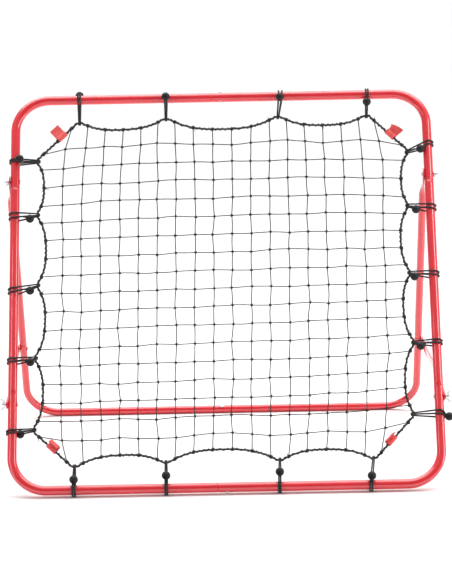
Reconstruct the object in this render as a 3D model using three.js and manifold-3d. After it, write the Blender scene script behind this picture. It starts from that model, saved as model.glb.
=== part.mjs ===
// A folding pitch back rebounder: a square net, held by ball bungees in a leaning front frame of bolted
// steel tube, with a U of thinner tube hinged behind it as a stand and a flat brace bar on each side.
// Millimetres, +Z up. The player stands on the -Y side. The origin is on the ground, midway between the
// front bottom bar and the rear bar.
import * as THREE from 'three';
import { mergeVertices } from 'three/addons/utils/BufferGeometryUtils.js';
import Module from 'manifold-3d';

const wasm = await Module();
wasm.setup();

// Driving dimensions
const FRAME_SIZE = 1000; // outside width and height of the front frame
const FRONT_TUBE_R = 11;
const REAR_TUBE_R = 9.5;
const WALL = 1.2;
const BEND_R = 80; // centre line of the corner bends
const FRONT_LEAN = THREE.MathUtils.degToRad(33.5); // from vertical
const FOOT_SPREAD = 760; // front bar to rear bar on the ground
const HINGE_UP = 767; // along the front frame, from its bottom bar
const FRONT_BRACE_UP = 209; // brace bolt on the front side tube
const REAR_BRACE_UP = 212; // brace bolt on the rear leg, from the rear bar
const UPPER_SEAM_UP = 750;
const LOWER_SEAM_UP = 234;
const REAR_SEAM_UP = 227;
const CENTRE_SEAM_X = -21; // the bars join left of the middle, with their screw on the middle
const SPIGOT = 43; // length of a swaged end
const GAP = 0.3; // between touching pieces

const BOLT_R = 3;
const BOLT_HOLE_R = 3.4;
const SCREW_R = 2.5;
const SCREW_HOLE_R = 2.9;
const INSERT_R = 3.8;
const BRACE_WIDTH = 20;
const BRACE_THICK = 3;
const BRACE_SWING_RATIO = 1.1; // brace turn for each degree that the rear frame folds
const TIP_THICK = 3; // the flattened end of a rear leg
const TIP_HALF_WIDTH = 14;

const BALL_R = 10;
const CORD = 3.8; // elastic cord diameter
const ROPE = 4; // border rope, as a square section
const ROPE_LOOP_R = 6.4; // elastic's centre line round the border rope
const HALF_PINCH = 6; // the border runs straight this far each side of a loop
const NET_THICK = 2;
const NET_EDGE_INSET = 13; // net sheet's edge inside the border rope
const SCALLOP = 0.085; // how far the border hangs in, as a share of each span
const TAG_WIDTH = 26;
const TAG_THICK = 1.5; // of the folded ribbon

const SIDES = 12; // facets round a tube
const BEND_STEPS = 6;

// Derived dimensions
const HALF = FRAME_SIZE / 2 - FRONT_TUBE_R; // centre line of the frame from its middle
const TOP = 2 * HALF;
const LOOP_R = FRONT_TUBE_R + 0.55 + CORD / 2; // elastic's centre line round the tube
const FRONT_BAR_Z = LOOP_R + CORD / 2; // the bottom loops touch the ground
const FACET_UP = Math.PI / SIDES; // half a facet: flats face along the frame's own axes
const REAR_BAR_Z = REAR_TUBE_R * Math.cos(FACET_UP); // one facet lies on the ground
const FRONT_BAR_Y = -FOOT_SPREAD / 2;
const REAR_BAR_Y = FOOT_SPREAD / 2;
const HINGE_Y = FRONT_BAR_Y + HINGE_UP * Math.sin(FRONT_LEAN);
const HINGE_Z = FRONT_BAR_Z + HINGE_UP * Math.cos(FRONT_LEAN);
const LEG_LENGTH = Math.hypot(REAR_BAR_Y - HINGE_Y, HINGE_Z - REAR_BAR_Z);
const REAR_LEAN = Math.atan2(REAR_BAR_Y - HINGE_Y, HINGE_Z - REAR_BAR_Z);
const REAR_SHIFT = FRONT_TUBE_R + GAP + TIP_THICK / 2; // rear frame stands this far to the left

const PAINT = material(0xc8323c, 0.32, 0.1);
const ZINC = material(0xb9bcc0, 0.35, 0.9);
const BLACK_NET = material(0x1c1d20, 0.85, 0);
const BLACK_ELASTIC = material(0x18181a, 0.75, 0);
const RED_RIBBON = material(0xd9483f, 0.8, 0);

function material(color, roughness, metalness) {
  return new THREE.MeshStandardMaterial({ color, roughness, metalness });
}

function solid(geometry) {
  const bare = geometry.clone();
  bare.deleteAttribute('normal');
  bare.deleteAttribute('uv');
  const welded = mergeVertices(bare, 1e-3);
  return new wasm.Manifold(new wasm.Mesh({
    numProp: 3,
    vertProperties: new Float32Array(welded.attributes.position.array),
    triVerts: new Uint32Array(welded.index.array),
  }));
}

function geometryOf(manifold) {
  const mesh = manifold.getMesh();
  const geometry = new THREE.BufferGeometry();
  geometry.setAttribute('position', new THREE.BufferAttribute(mesh.vertProperties, 3));
  geometry.setIndex(new THREE.BufferAttribute(mesh.triVerts, 1));
  geometry.computeVertexNormals();
  return geometry;
}

function place(parent, name, geometry, finish, position = [0, 0, 0], rotation = [0, 0, 0]) {
  const mesh = new THREE.Mesh(geometry, finish);
  mesh.name = name;
  mesh.position.set(...position);
  mesh.rotation.set(...rotation);
  parent.add(mesh);
  return mesh;
}

// A path that an extrusion meets at chosen stations, one for each of its steps
class StationPath extends THREE.Curve {
  constructor(stations) {
    super();
    this.stations = stations;
  }

  station(u) {
    return this.stations[Math.round(u * (this.stations.length - 1))];
  }

  getPointAt(u, target = new THREE.Vector3()) {
    return target.copy(this.station(u).point);
  }

  getTangentAt(u, target = new THREE.Vector3()) {
    return target.copy(this.station(u).tangent);
  }
}

function sweep(section, stations, curveSegments = SIDES / 2) {
  const extrudePath = new StationPath(stations);
  return new THREE.ExtrudeGeometry(section, { extrudePath, steps: stations.length - 1, curveSegments });
}

// ---- tubes ----

function pipeSection(radius, turn) {
  const section = new THREE.Shape().absarc(0, 0, radius, turn, turn + 2 * Math.PI, false);
  section.holes.push(new THREE.Path().absarc(0, 0, radius - WALL, turn, turn + 2 * Math.PI, true));
  return section;
}

// From one end to the other by way of a right-angled corner, all in one plane
function cornerStations(start, corner, end) {
  const into = corner.clone().sub(start).normalize();
  const away = end.clone().sub(corner).normalize();
  const stations = [{ point: start, tangent: into }];
  for (let i = 0; i <= BEND_STEPS; i += 1) {
    const turn = (i / BEND_STEPS) * (Math.PI / 2);
    const point = corner.clone()
      .addScaledVector(into, BEND_R * (Math.sin(turn) - 1))
      .addScaledVector(away, BEND_R * (1 - Math.cos(turn)));
    const tangent = into.clone().multiplyScalar(Math.cos(turn)).addScaledVector(away, Math.sin(turn));
    stations.push({ point, tangent });
  }
  stations.push({ point: end, tangent: away });
  return stations;
}

// Outside radius of a swaged end that slips into a tube of the same size
function swageRadius(radius) {
  return (radius - WALL) * Math.cos(FACET_UP) - GAP;
}

// Squeezes the stretch of a straight bar's tube that lies past its seam down to the swaged size
function swagePast(tube, seamX, barY, radius) {
  const swage = swageRadius(radius);
  const vertices = tube.attributes.position;
  for (let i = 0; i < vertices.count; i += 1) {
    if (vertices.getX(i) > seamX - 0.1) {
      const up = vertices.getY(i) - barY;
      const out = vertices.getZ(i);
      const from = Math.hypot(up, out);
      const squeeze = (from > radius - WALL / 2 ? swage : swage - WALL) / from;
      vertices.setY(i, barY + up * squeeze);
      vertices.setZ(i, out * squeeze);
    }
  }
  return tube;
}

function drill(body, radius, length, position, rotation) {
  const bit = new THREE.CylinderGeometry(radius, radius, length, 10);
  bit.applyMatrix4(new THREE.Matrix4().compose(
    new THREE.Vector3(...position),
    new THREE.Quaternion().setFromEuler(new THREE.Euler(...rotation)),
    new THREE.Vector3(1, 1, 1),
  ));
  return body.subtract(solid(bit));
}

// Hole along X, right through a side tube, for a bolt
function boltHole(body, x, y) {
  return drill(body, BOLT_HOLE_R, 60, [x, y, 0], [0, 0, Math.PI / 2]);
}

// Holes along Y in a bar's middle: small on the screw head's side, larger on the insert's side
function screwHoles(body, barY, headSide) {
  const reach = 30;
  const withScrewHole = drill(body, SCREW_HOLE_R, reach, [0, barY + headSide * reach / 2, 0], [0, 0, 0]);
  return drill(withScrewHole, INSERT_R + GAP, reach, [0, barY - headSide * reach / 2, 0], [0, 0, 0]);
}

// Half of a bar with its bend and the lower or upper end of a side: the left half carries the swaged end
function cornerTube(side, barY, endY, radius, boltY, headSide, turn) {
  const shoulder = 1;
  const startX = side < 0 ? CENTRE_SEAM_X - shoulder : CENTRE_SEAM_X + GAP;
  const start = new THREE.Vector3(startX, barY, 0);
  const corner = new THREE.Vector3(side * HALF, barY, 0);
  const end = new THREE.Vector3(side * HALF, endY, 0);
  const stations = cornerStations(start, corner, end);
  if (side < 0) {
    const tangent = stations[0].tangent;
    stations.unshift(
      { point: new THREE.Vector3(CENTRE_SEAM_X + SPIGOT, barY, 0), tangent },
      { point: new THREE.Vector3(CENTRE_SEAM_X, barY, 0), tangent },
    );
  }
  const tube = sweep(pipeSection(radius, turn), stations);
  let body = solid(side < 0 ? swagePast(tube, CENTRE_SEAM_X, barY, radius) : tube);
  body = screwHoles(body, barY, headSide);
  return geometryOf(boltHole(body, side * HALF, boltY));
}

// Straight side tube, swaged at both ends
function sideTube(x) {
  const swage = swageRadius(FRONT_TUBE_R);
  const bottom = LOWER_SEAM_UP + GAP;
  const top = UPPER_SEAM_UP - GAP;
  const outside = [
    [swage, bottom - SPIGOT], [swage, bottom], [FRONT_TUBE_R, bottom + 0.5],
    [FRONT_TUBE_R, top - 0.5], [swage, top], [swage, top + SPIGOT],
  ];
  const inside = outside.map(([r, y]) => [r - WALL, y]).reverse();
  const profile = [...outside, ...inside, outside[0]].map(([r, y]) => new THREE.Vector2(r, y));
  const tube = solid(new THREE.LatheGeometry(profile, SIDES, FACET_UP).translate(x, 0, 0));
  return geometryOf(boltHole(boltHole(tube, x, HINGE_UP), x, FRONT_BRACE_UP));
}

// Rear leg: swaged at its foot, pressed flat at its top end and rounded off past the bolt hole
function rearLeg(x, turn) {
  const swage = swageRadius(REAR_TUBE_R);
  const bore = REAR_TUBE_R - WALL;
  const bottom = REAR_SEAM_UP + GAP;
  const roundTo = LEG_LENGTH - 60;
  const flatFrom = LEG_LENGTH - 30;
  const tipRings = [0, 6, 12, 18, 24, 30, 60, 65, 69, 72, 73.6].map((up) => roundTo + up);
  const profile = [
    [swage, bottom - SPIGOT], [swage, bottom], [REAR_TUBE_R, bottom + 0.5],
    ...tipRings.map((y) => [REAR_TUBE_R, y]), [0, tipRings.at(-1)],
    [0, roundTo - 4], [bore, roundTo - 4], [bore, bottom + 2], [swage - WALL, bottom],
    [swage - WALL, bottom - SPIGOT], [swage, bottom - SPIGOT],
  ].map(([r, y]) => new THREE.Vector2(r, y));
  const leg = new THREE.LatheGeometry(profile, SIDES, turn);
  const vertices = leg.attributes.position;
  for (let i = 0; i < vertices.count; i += 1) {
    const y = vertices.getY(i);
    const onAxis = Math.hypot(vertices.getX(i), vertices.getZ(i)) < 1;
    if (y > roundTo && !onAxis) {
      const flat = THREE.MathUtils.smoothstep(y, roundTo, flatFrom);
      const past = Math.max(0, y - LEG_LENGTH);
      const halfWidth = Math.sqrt(TIP_HALF_WIDTH ** 2 - past ** 2);
      const pressedX = Math.sign(vertices.getX(i)) * TIP_THICK / 2;
      const pressedZ = (vertices.getZ(i) / REAR_TUBE_R) * halfWidth;
      vertices.setX(i, THREE.MathUtils.lerp(vertices.getX(i), pressedX, flat));
      vertices.setZ(i, THREE.MathUtils.lerp(vertices.getZ(i), pressedZ, flat));
    }
  }
  const body = solid(leg.translate(x, 0, 0));
  return geometryOf(boltHole(boltHole(body, x, LEG_LENGTH), x, REAR_BRACE_UP));
}

// ---- fasteners ----

// Domed bolt or screw along +Y, with its head's seat at y = 0
function domedBolt(radius, length, headR, headHeight) {
  const profile = [
    [0, -headHeight], [headR * 0.6, -headHeight * 0.85], [headR, -headHeight * 0.3], [headR, 0],
    [radius, 0], [radius, length], [0, length],
  ].map(([r, y]) => new THREE.Vector2(r, y));
  return new THREE.LatheGeometry(profile, 10);
}

// Wing nut along +Y with its seat at y = 0, its two wings spread in a V
function wingNut(turn) {
  const bore = BOLT_R + GAP;
  const hubHeight = 8;
  const hub = [[bore, 0], [6.5, 0], [5.2, hubHeight], [bore, hubHeight], [bore, 0]]
    .map(([r, y]) => new THREE.Vector2(r, y));
  const wing = new THREE.Shape();
  wing.moveTo(4.3, 1.5);
  wing.lineTo(6.5, 1.5);
  wing.lineTo(14.5, 8);
  wing.quadraticCurveTo(16.5, 12.5, 13, 14);
  wing.quadraticCurveTo(8.5, 13, 4.3, 7);
  const thick = 2;
  let nut = solid(new THREE.LatheGeometry(hub, 12));
  for (const half of [0, Math.PI]) {
    const blade = new THREE.ExtrudeGeometry(wing, { depth: thick, bevelEnabled: false, curveSegments: 4 });
    nut = nut.add(solid(blade.translate(0, 0, -thick / 2).rotateY(half)));
  }
  return geometryOf(nut).rotateY(turn);
}

// Bolt through a side, head inside and wing nut outside; seats are distances from the frame's middle
function sideBolt(parent, name, side, y, headSeat, nutSeat, turn) {
  const along = [0, 0, -side * Math.PI / 2];
  const length = nutSeat - headSeat + 11;
  place(parent, `${name}_bolt`, domedBolt(BOLT_R, length, 5.8, 3.3), ZINC, [side * headSeat, y, 0], along);
  place(parent, `${name}_wing_nut`, wingNut(turn), ZINC, [side * nutSeat, y, 0], along);
}

// Screw through the middle of a bar and the threaded insert that takes it
function centreScrew(parent, name, barY, headSide, radius) {
  const turned = headSide > 0 ? Math.PI : 0;
  const seat = barY + headSide * (radius + 0.1);
  const length = 2 * radius - 1.5;
  place(parent, `${name}_screw`, domedBolt(SCREW_R, length, 5, 2.4), ZINC, [0, seat, 0], [turned, 0, 0]);
  const outer = radius * 0.88; // flush inside the tube's curve
  const ring = [[SCREW_R + GAP, 4.5], [INSERT_R, 4.5], [INSERT_R, outer], [SCREW_R + GAP, outer],
    [SCREW_R + GAP, 4.5]].map(([r, y]) => new THREE.Vector2(r, y));
  place(parent, `${name}_insert`, new THREE.LatheGeometry(ring, 12), ZINC, [0, barY, 0],
    [turned, 0, 0]);
}

// ---- brace bars ----

// Flat bar from its front hole at the origin along +Y, set over sideways by sideStep between two places,
// with a hook slot at its rear hole that opens the way the bolt leaves
function braceBar(length, sideStep, stepFrom, stepTo, slotTurn) {
  const half = BRACE_THICK / 2;
  const round = BRACE_WIDTH / 2;
  const line = [new THREE.Vector2(0, -2 * round)];
  const steps = 8;
  for (let i = 0; i <= steps; i += 1) {
    const y = THREE.MathUtils.lerp(stepFrom, stepTo, i / steps);
    line.push(new THREE.Vector2(sideStep * THREE.MathUtils.smoothstep(y, stepFrom, stepTo), y));
  }
  line.push(new THREE.Vector2(sideStep, length + 2 * round));
  const profile = new THREE.Shape([
    ...line.map((p) => new THREE.Vector2(p.x + half, p.y)),
    ...line.map((p) => new THREE.Vector2(p.x - half, p.y)).reverse(),
  ]);
  const strip = new THREE.ExtrudeGeometry(profile, { depth: BRACE_WIDTH + 2, bevelEnabled: false });
  strip.translate(0, 0, -round - 1);

  const outline = new THREE.Shape();
  outline.absarc(0, 0, round, Math.PI, 2 * Math.PI, false);
  outline.absarc(0, length, round, 0, Math.PI, false);
  outline.closePath();
  const reach = 60;
  const blank = new THREE.ExtrudeGeometry(outline, { depth: reach, bevelEnabled: false, curveSegments: 10 });
  blank.translate(0, 0, -reach / 2).rotateY(Math.PI / 2);

  const slot = new THREE.BoxGeometry(reach, reach / 2, 2 * BOLT_HOLE_R);
  slot.translate(0, -reach / 4, 0).rotateX(slotTurn).translate(0, length, 0);
  let bar = solid(strip).intersect(solid(blank));
  bar = drill(bar, BOLT_HOLE_R, reach, [0, 0, 0], [0, 0, Math.PI / 2]);
  bar = drill(bar, BOLT_HOLE_R, reach, [0, length, 0], [0, 0, Math.PI / 2]);
  return geometryOf(bar.subtract(solid(slot)));
}

// ---- net, border rope and tags ----

// Where each elastic loop sits on its tube, and where it pulls the border rope to, from the frame's bottom
// middle. The ball hangs on the loop's front run, along by its distance from the tube, proud of the run and
// hung down beside it, or else lies against the tube, at an angle round it from the net by way of the front.
const TOP_LOOPS = [
  { tube: -338, net: [-337, 917], angle: 215 },
  { tube: -131, net: [-131, 924], along: 6, proud: 7.5 },
  { tube: 143, net: [136, 924], along: 9, proud: 7.2 },
  { tube: 350, net: [347, 922], along: 23, proud: 0 },
];
const BOTTOM_LOOPS = [
  { tube: -348, net: [-346, 56], along: 19 },
  { tube: -138, net: [-138, 62], along: 25 },
  { tube: 119, net: [121, 63], along: 29 },
  { tube: 326, net: [334, 63], along: 15 },
];
const LEFT_LOOPS = [
  { tube: 140, net: [-439, 146], along: 16, behind: true },
  { tube: 314, net: [-437, 321], along: 40, proud: 3, hung: 11 },
  { tube: 488, net: [-433, 502], along: 38, proud: 3, hung: 12 },
  { tube: 677, net: [-435, 681], along: 36, proud: 3, hung: 12 },
  { tube: 819, net: [-435, 819], along: 10, proud: 6.8 },
];
const RIGHT_LOOPS = [
  { tube: 168, net: [428, 167], angle: 172, hung: 9 },
  { tube: 341, net: [436, 342], along: 37, proud: 3, hung: 12 },
  { tube: 511, net: [434, 516], along: 44, proud: 3, hung: 12 },
  { tube: 680, net: [436, 687], along: 34, proud: 3, hung: 12 },
  { tube: 845, net: [440, 826], along: 17, proud: 3.5, hung: 11 },
];

// The border's anchor points in order, anticlockwise from the lowest on the right side, each with the
// direction that the border takes through its loop
function anchors() {
  const pins = (loops, x, y) => loops.map((loop) => ({
    at: new THREE.Vector2(...loop.net),
    along: new THREE.Vector2(x, y),
  }));
  return [
    ...pins(RIGHT_LOOPS, 0, 1),
    ...pins(TOP_LOOPS, -1, 0).reverse(),
    ...pins(LEFT_LOOPS, 0, -1).reverse(),
    ...pins(BOTTOM_LOOPS, 1, 0),
  ];
}

// A span from one anchor to the next hangs in toward the net, except across a corner
function borderLine() {
  const pins = anchors();
  const points = [];
  pins.forEach((pin, i) => {
    const next = pins[(i + 1) % pins.length];
    const from = pin.at.clone().addScaledVector(pin.along, HALF_PINCH);
    const to = next.at.clone().addScaledVector(next.along, -HALF_PINCH);
    const span = to.clone().sub(from);
    const crossesCorner = pin.along.dot(next.along) < 0.5;
    const inward = new THREE.Vector2(-span.y, span.x).multiplyScalar(crossesCorner ? 0 : 2 * SCALLOP);
    const control = from.clone().add(to).multiplyScalar(0.5).add(inward);
    points.push(...new THREE.QuadraticBezierCurve(from, control, to).getPoints(crossesCorner ? 1 : 4));
  });
  return points;
}

function offsetLine(points, distance) {
  return points.map((point, i) => {
    const before = points[(i + points.length - 1) % points.length];
    const after = points[(i + 1) % points.length];
    const along = after.clone().sub(before).normalize();
    return new THREE.Vector2(point.x + along.y * distance, point.y - along.x * distance);
  });
}

function borderRope() {
  const ring = new THREE.Shape(offsetLine(borderLine(), ROPE / 2));
  ring.holes.push(new THREE.Path(offsetLine(borderLine(), -ROPE / 2)));
  return new THREE.ExtrudeGeometry(ring, { depth: ROPE, bevelEnabled: false }).translate(0, 0, -ROPE / 2);
}

function netSheet() {
  const sheet = new THREE.Shape(offsetLine(borderLine(), -NET_EDGE_INSET));
  return new THREE.ExtrudeGeometry(sheet, { depth: NET_THICK, bevelEnabled: false })
    .translate(0, 0, -NET_THICK / 2);
}

// Ribbon tag on a corner run of the border rope: share is how far along the run, and reach how far it
// stands out from the rope, or in toward the net where that is negative
function placeTag(parent, name, from, to, corner, { share, reach }) {
  const middle = from.clone().lerp(to, share);
  const across = to.clone().sub(from).rotateAround(new THREE.Vector2(), Math.PI / 2);
  const outward = across.multiplyScalar(Math.sign(across.dot(corner))).angle();
  const start = ROPE / 2 + GAP;
  const tag = new THREE.BoxGeometry(Math.abs(reach) - start, TAG_WIDTH, TAG_THICK);
  tag.translate(Math.sign(reach) * (Math.abs(reach) + start) / 2, 0, 0);
  place(parent, name, tag, RED_RIBBON, [middle.x, middle.y, 0], [0, 0, outward]);
}

// ---- ball bungees ----

function arcStations(centreX, radius, fromDeg, toDeg, steps) {
  return Array.from({ length: steps + 1 }, (_, i) => {
    const turn = THREE.MathUtils.degToRad(THREE.MathUtils.lerp(fromDeg, toDeg, i / steps));
    return {
      point: new THREE.Vector3(centreX + radius * Math.cos(turn), 0, radius * Math.sin(turn)),
      tangent: new THREE.Vector3(-Math.sin(turn), 0, Math.cos(turn)),
    };
  });
}

// Ball and elastic loop. The tube runs along Y through the origin, the border rope crosses at x = reach,
// the front is toward +Z, and slant is how far along the tube the loop drifts for each unit toward the net.
// The ball hangs off the loop by ballShift along the tube.
function ballBungee(reach, slant, ballShift, { angle, along, proud = 6 }) {
  const tangentDeg = THREE.MathUtils.radToDeg(Math.acos((LOOP_R - ROPE_LOOP_R) / reach));
  const far = 360 - tangentDeg;
  const arcStep = 22.5;
  const netEnd = arcStations(reach, ROPE_LOOP_R, far, 360 + tangentDeg, 4);
  let stations;
  let centre;
  if (angle) {
    const open = 6; // degrees between the elastic's two ends, inside the ball
    const ballOut = BALL_R + FRONT_TUBE_R + 0.5;
    const turn = THREE.MathUtils.degToRad(angle);
    centre = new THREE.Vector3(ballOut * Math.cos(turn), 0, ballOut * Math.sin(turn));
    const outward = arcStations(0, LOOP_R, angle + open, far, Math.ceil((far - angle - open) / arcStep));
    const back = arcStations(0, LOOP_R, tangentDeg, angle - open, Math.ceil((angle - tangentDeg) / arcStep));
    stations = [...outward, ...netEnd, ...back];
  } else {
    const roundTube = arcStations(0, LOOP_R, tangentDeg, far, Math.ceil((far - tangentDeg) / arcStep));
    const leave = roundTube[0].point;
    const arrive = netEnd.at(-1).point;
    const run = arrive.clone().sub(leave);
    const foot = leave.clone().addScaledVector(run, (along - leave.x) / run.x);
    const tangent = roundTube[0].tangent;
    const open = run.clone().setLength(1.5);
    const outward = new THREE.Vector3(run.z, 0, -run.x).setLength(-proud);
    centre = foot.clone().add(outward);
    stations = [
      { point: foot.clone().sub(open), tangent }, ...roundTube, ...netEnd,
      { point: foot.clone().add(open), tangent },
    ];
  }
  const belt = new THREE.Shape([[-CORD, -CORD / 2], [CORD, -CORD / 2], [CORD, CORD / 2], [-CORD, CORD / 2]]
    .map(([x, y]) => new THREE.Vector2(x, y)));
  const loop = sweep(belt, stations);
  const vertices = loop.attributes.position;
  for (let i = 0; i < vertices.count; i += 1) {
    vertices.setY(i, vertices.getY(i) + slant * Math.max(0, vertices.getX(i)));
  }
  const ball = new THREE.SphereGeometry(BALL_R, 10, 7);
  ball.translate(centre.x, slant * Math.max(0, centre.x) + ballShift, centre.z);
  return geometryOf(solid(loop).add(solid(ball)));
}

// turn is the direction in the frame's plane from the tube to the net, which runs along X where it is hung
function placeLoops(parent, sideName, loops, turn, tubeOf) {
  loops.forEach((loop, i) => {
    const onTube = tubeOf(loop);
    const toNet = new THREE.Vector2(...loop.net).sub(onTube).rotateAround(new THREE.Vector2(), -turn);
    const slant = toNet.y / toNet.x;
    const ballShift = -Math.cos(turn) * (loop.hung ?? 0);
    const geometry = ballBungee(toNet.x, loop.behind ? -slant : slant, ballShift, loop);
    if (loop.behind) {
      geometry.rotateX(Math.PI);
    }
    place(parent, `bungee_${sideName}_${i + 1}`, geometry, BLACK_ELASTIC, [onTube.x, onTube.y, 0],
      [0, 0, turn]);
  });
}

// ---- assembly ----

const rebounder = new THREE.Group();
const front = new THREE.Group();
front.position.set(0, FRONT_BAR_Y, FRONT_BAR_Z);
front.rotation.x = Math.PI / 2 - FRONT_LEAN;
rebounder.add(front);
const rear = new THREE.Group();
rear.position.set(-REAR_SHIFT, REAR_BAR_Y, REAR_BAR_Z);
rear.rotation.x = Math.PI / 2 + REAR_LEAN;
rebounder.add(rear);

const facetDown = REAR_LEAN + FACET_UP; // turns the rear tube so that a facet lies on the ground
for (const [sideName, side] of [['left', -1], ['right', 1]]) {
  place(front, `front_top_corner_${sideName}`,
    cornerTube(side, TOP, UPPER_SEAM_UP, FRONT_TUBE_R, HINGE_UP, 1, FACET_UP), PAINT);
  place(front, `front_bottom_corner_${sideName}`,
    cornerTube(side, 0, LOWER_SEAM_UP, FRONT_TUBE_R, FRONT_BRACE_UP, -1, FACET_UP), PAINT);
  place(front, `front_side_tube_${sideName}`, sideTube(side * HALF), PAINT);
  place(rear, `rear_bottom_corner_${sideName}`,
    cornerTube(side, 0, REAR_SEAM_UP, REAR_TUBE_R, REAR_BRACE_UP, 1, -side * facetDown), PAINT);
  place(rear, `rear_leg_${sideName}`, rearLeg(side * HALF, -side * facetDown), PAINT);
}
centreScrew(front, 'top_bar', TOP, 1, FRONT_TUBE_R);
centreScrew(front, 'bottom_bar', 0, -1, FRONT_TUBE_R);
centreScrew(rear, 'rear_bar', 0, 1, REAR_TUBE_R);

// The left leg's tip lies outside the front tube and the right leg's tip inside it
const tubeInside = HALF - FRONT_TUBE_R - GAP;
const tubeOutside = HALF + FRONT_TUBE_R + GAP;
sideBolt(front, 'hinge_left', -1, HINGE_UP, tubeInside, tubeOutside + TIP_THICK + GAP, 0.5);
sideBolt(front, 'hinge_right', 1, HINGE_UP, tubeInside - TIP_THICK - GAP, tubeOutside, -0.4);
for (const [sideName, side] of [['left', -1], ['right', 1]]) {
  sideBolt(front, `brace_front_${sideName}`, side, FRONT_BRACE_UP, tubeInside,
    tubeOutside + BRACE_THICK + GAP, side * 0.7);
  sideBolt(rear, `brace_rear_${sideName}`, side, REAR_BRACE_UP, HALF - REAR_TUBE_R - GAP,
    HALF + REAR_TUBE_R + BRACE_THICK + 2 * GAP, side * 1.1);
}

// Both brace bars run from the front side tube to the rear leg, outside both
const bracePinY = FRONT_BAR_Y + FRONT_BRACE_UP * Math.sin(FRONT_LEAN);
const bracePinZ = FRONT_BAR_Z + FRONT_BRACE_UP * Math.cos(FRONT_LEAN);
const braceEndY = REAR_BAR_Y - REAR_BRACE_UP * Math.sin(REAR_LEAN);
const braceEndZ = REAR_BAR_Z + REAR_BRACE_UP * Math.cos(REAR_LEAN);
const braceLength = Math.hypot(braceEndY - bracePinY, braceEndZ - bracePinZ);
const braceRise = Math.atan2(braceEndZ - bracePinZ, braceEndY - bracePinY);
// As the rear frame folds, its bolt moves forward and down while the bar's end moves up
const boltForward = HINGE_Z - braceEndZ;
const boltDown = braceEndY - HINGE_Y + BRACE_SWING_RATIO * braceLength;
const slotTurn = Math.PI / 2 - Math.atan2(boltForward, boltDown) - braceRise;
const braceSeat = tubeOutside + BRACE_THICK / 2;
const leftRearSeat = HALF + REAR_SHIFT + REAR_TUBE_R + GAP + BRACE_THICK / 2;
const rightRearSeat = HALF - REAR_SHIFT + REAR_TUBE_R + GAP + BRACE_THICK / 2;
place(rebounder, 'brace_bar_left', braceBar(braceLength, braceSeat - leftRearSeat, 40, 330, slotTurn), PAINT,
  [-braceSeat, bracePinY, bracePinZ], [braceRise, 0, 0]);
place(rebounder, 'brace_bar_right', braceBar(braceLength, rightRearSeat - braceSeat, 170, 520, slotTurn), PAINT,
  [braceSeat, bracePinY, bracePinZ], [braceRise, 0, 0]);

place(front, 'rebound_net', netSheet(), BLACK_NET);
place(front, 'net_border_rope', borderRope(), BLACK_NET);
placeLoops(front, 'top', TOP_LOOPS, -Math.PI / 2, (loop) => new THREE.Vector2(loop.tube, TOP));
placeLoops(front, 'bottom', BOTTOM_LOOPS, Math.PI / 2, (loop) => new THREE.Vector2(loop.tube, 0));
placeLoops(front, 'left', LEFT_LOOPS, 0, (loop) => new THREE.Vector2(-HALF, loop.tube));
placeLoops(front, 'right', RIGHT_LOOPS, Math.PI, (loop) => new THREE.Vector2(HALF, loop.tube));

// Each tag is on the border's run across a corner, between the ends of the two nearest pinches
const acrossCorner = [
  ['top_left', TOP_LOOPS[0], -1, LEFT_LOOPS[4], 1, { share: 0.38, reach: 30 }],
  ['top_right', TOP_LOOPS[3], 1, RIGHT_LOOPS[4], 1, { share: 0.59, reach: 28 }],
  ['bottom_left', BOTTOM_LOOPS[0], -1, LEFT_LOOPS[0], -1, { share: 0.57, reach: -12 }],
  ['bottom_right', BOTTOM_LOOPS[3], 1, RIGHT_LOOPS[0], -1, { share: 0.42, reach: 9 }],
];
for (const [cornerName, onBar, side, onSide, up, tag] of acrossCorner) {
  const barEnd = new THREE.Vector2(onBar.net[0] + side * HALF_PINCH, onBar.net[1]);
  const sideEnd = new THREE.Vector2(onSide.net[0], onSide.net[1] + up * HALF_PINCH);
  placeTag(front, `tag_${cornerName}`, barEnd, sideEnd, new THREE.Vector2(side, up), tag);
}

export default rebounder;
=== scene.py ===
import math

import bpy
import numpy as np
from mathutils import Matrix


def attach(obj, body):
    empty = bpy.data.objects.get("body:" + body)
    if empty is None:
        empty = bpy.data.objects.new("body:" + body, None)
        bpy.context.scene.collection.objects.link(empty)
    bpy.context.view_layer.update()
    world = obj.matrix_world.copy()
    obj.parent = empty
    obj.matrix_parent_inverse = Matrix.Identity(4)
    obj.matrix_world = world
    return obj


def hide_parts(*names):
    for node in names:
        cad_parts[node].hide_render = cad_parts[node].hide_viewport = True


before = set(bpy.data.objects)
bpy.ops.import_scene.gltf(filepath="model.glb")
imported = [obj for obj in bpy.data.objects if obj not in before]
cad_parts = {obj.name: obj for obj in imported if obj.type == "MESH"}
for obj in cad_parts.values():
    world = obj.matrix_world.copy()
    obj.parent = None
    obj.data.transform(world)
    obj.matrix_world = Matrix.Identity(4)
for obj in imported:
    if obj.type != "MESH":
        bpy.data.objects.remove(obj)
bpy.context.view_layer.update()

# Camera. A long lens stands far back on the player's side at a grown person's eye height, so the leaning
# frame is seen almost square on and the rear frame shows through the net.
CAMERA_PLACE = (0.0358, -6.668, 1.7646)
CAMERA_LENS = 177.16
CAMERA_PITCH = math.radians(11.658)
CAMERA_YAW = math.radians(-0.269)
CAMERA_ROLL = math.radians(1.163)

camera = bpy.data.objects.new("camera", bpy.data.cameras.new("camera"))
camera.data.lens = CAMERA_LENS
camera.data.sensor_width = 36
camera.matrix_world = (
    Matrix.Translation(CAMERA_PLACE)
    @ Matrix.Rotation(-CAMERA_YAW, 4, "Z")
    @ Matrix.Rotation(math.pi / 2 - CAMERA_PITCH, 4, "X")
    @ Matrix.Rotation(-CAMERA_ROLL, 4, "Z")
)
bpy.context.collection.objects.link(camera)
bpy.context.scene.camera = camera

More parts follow.
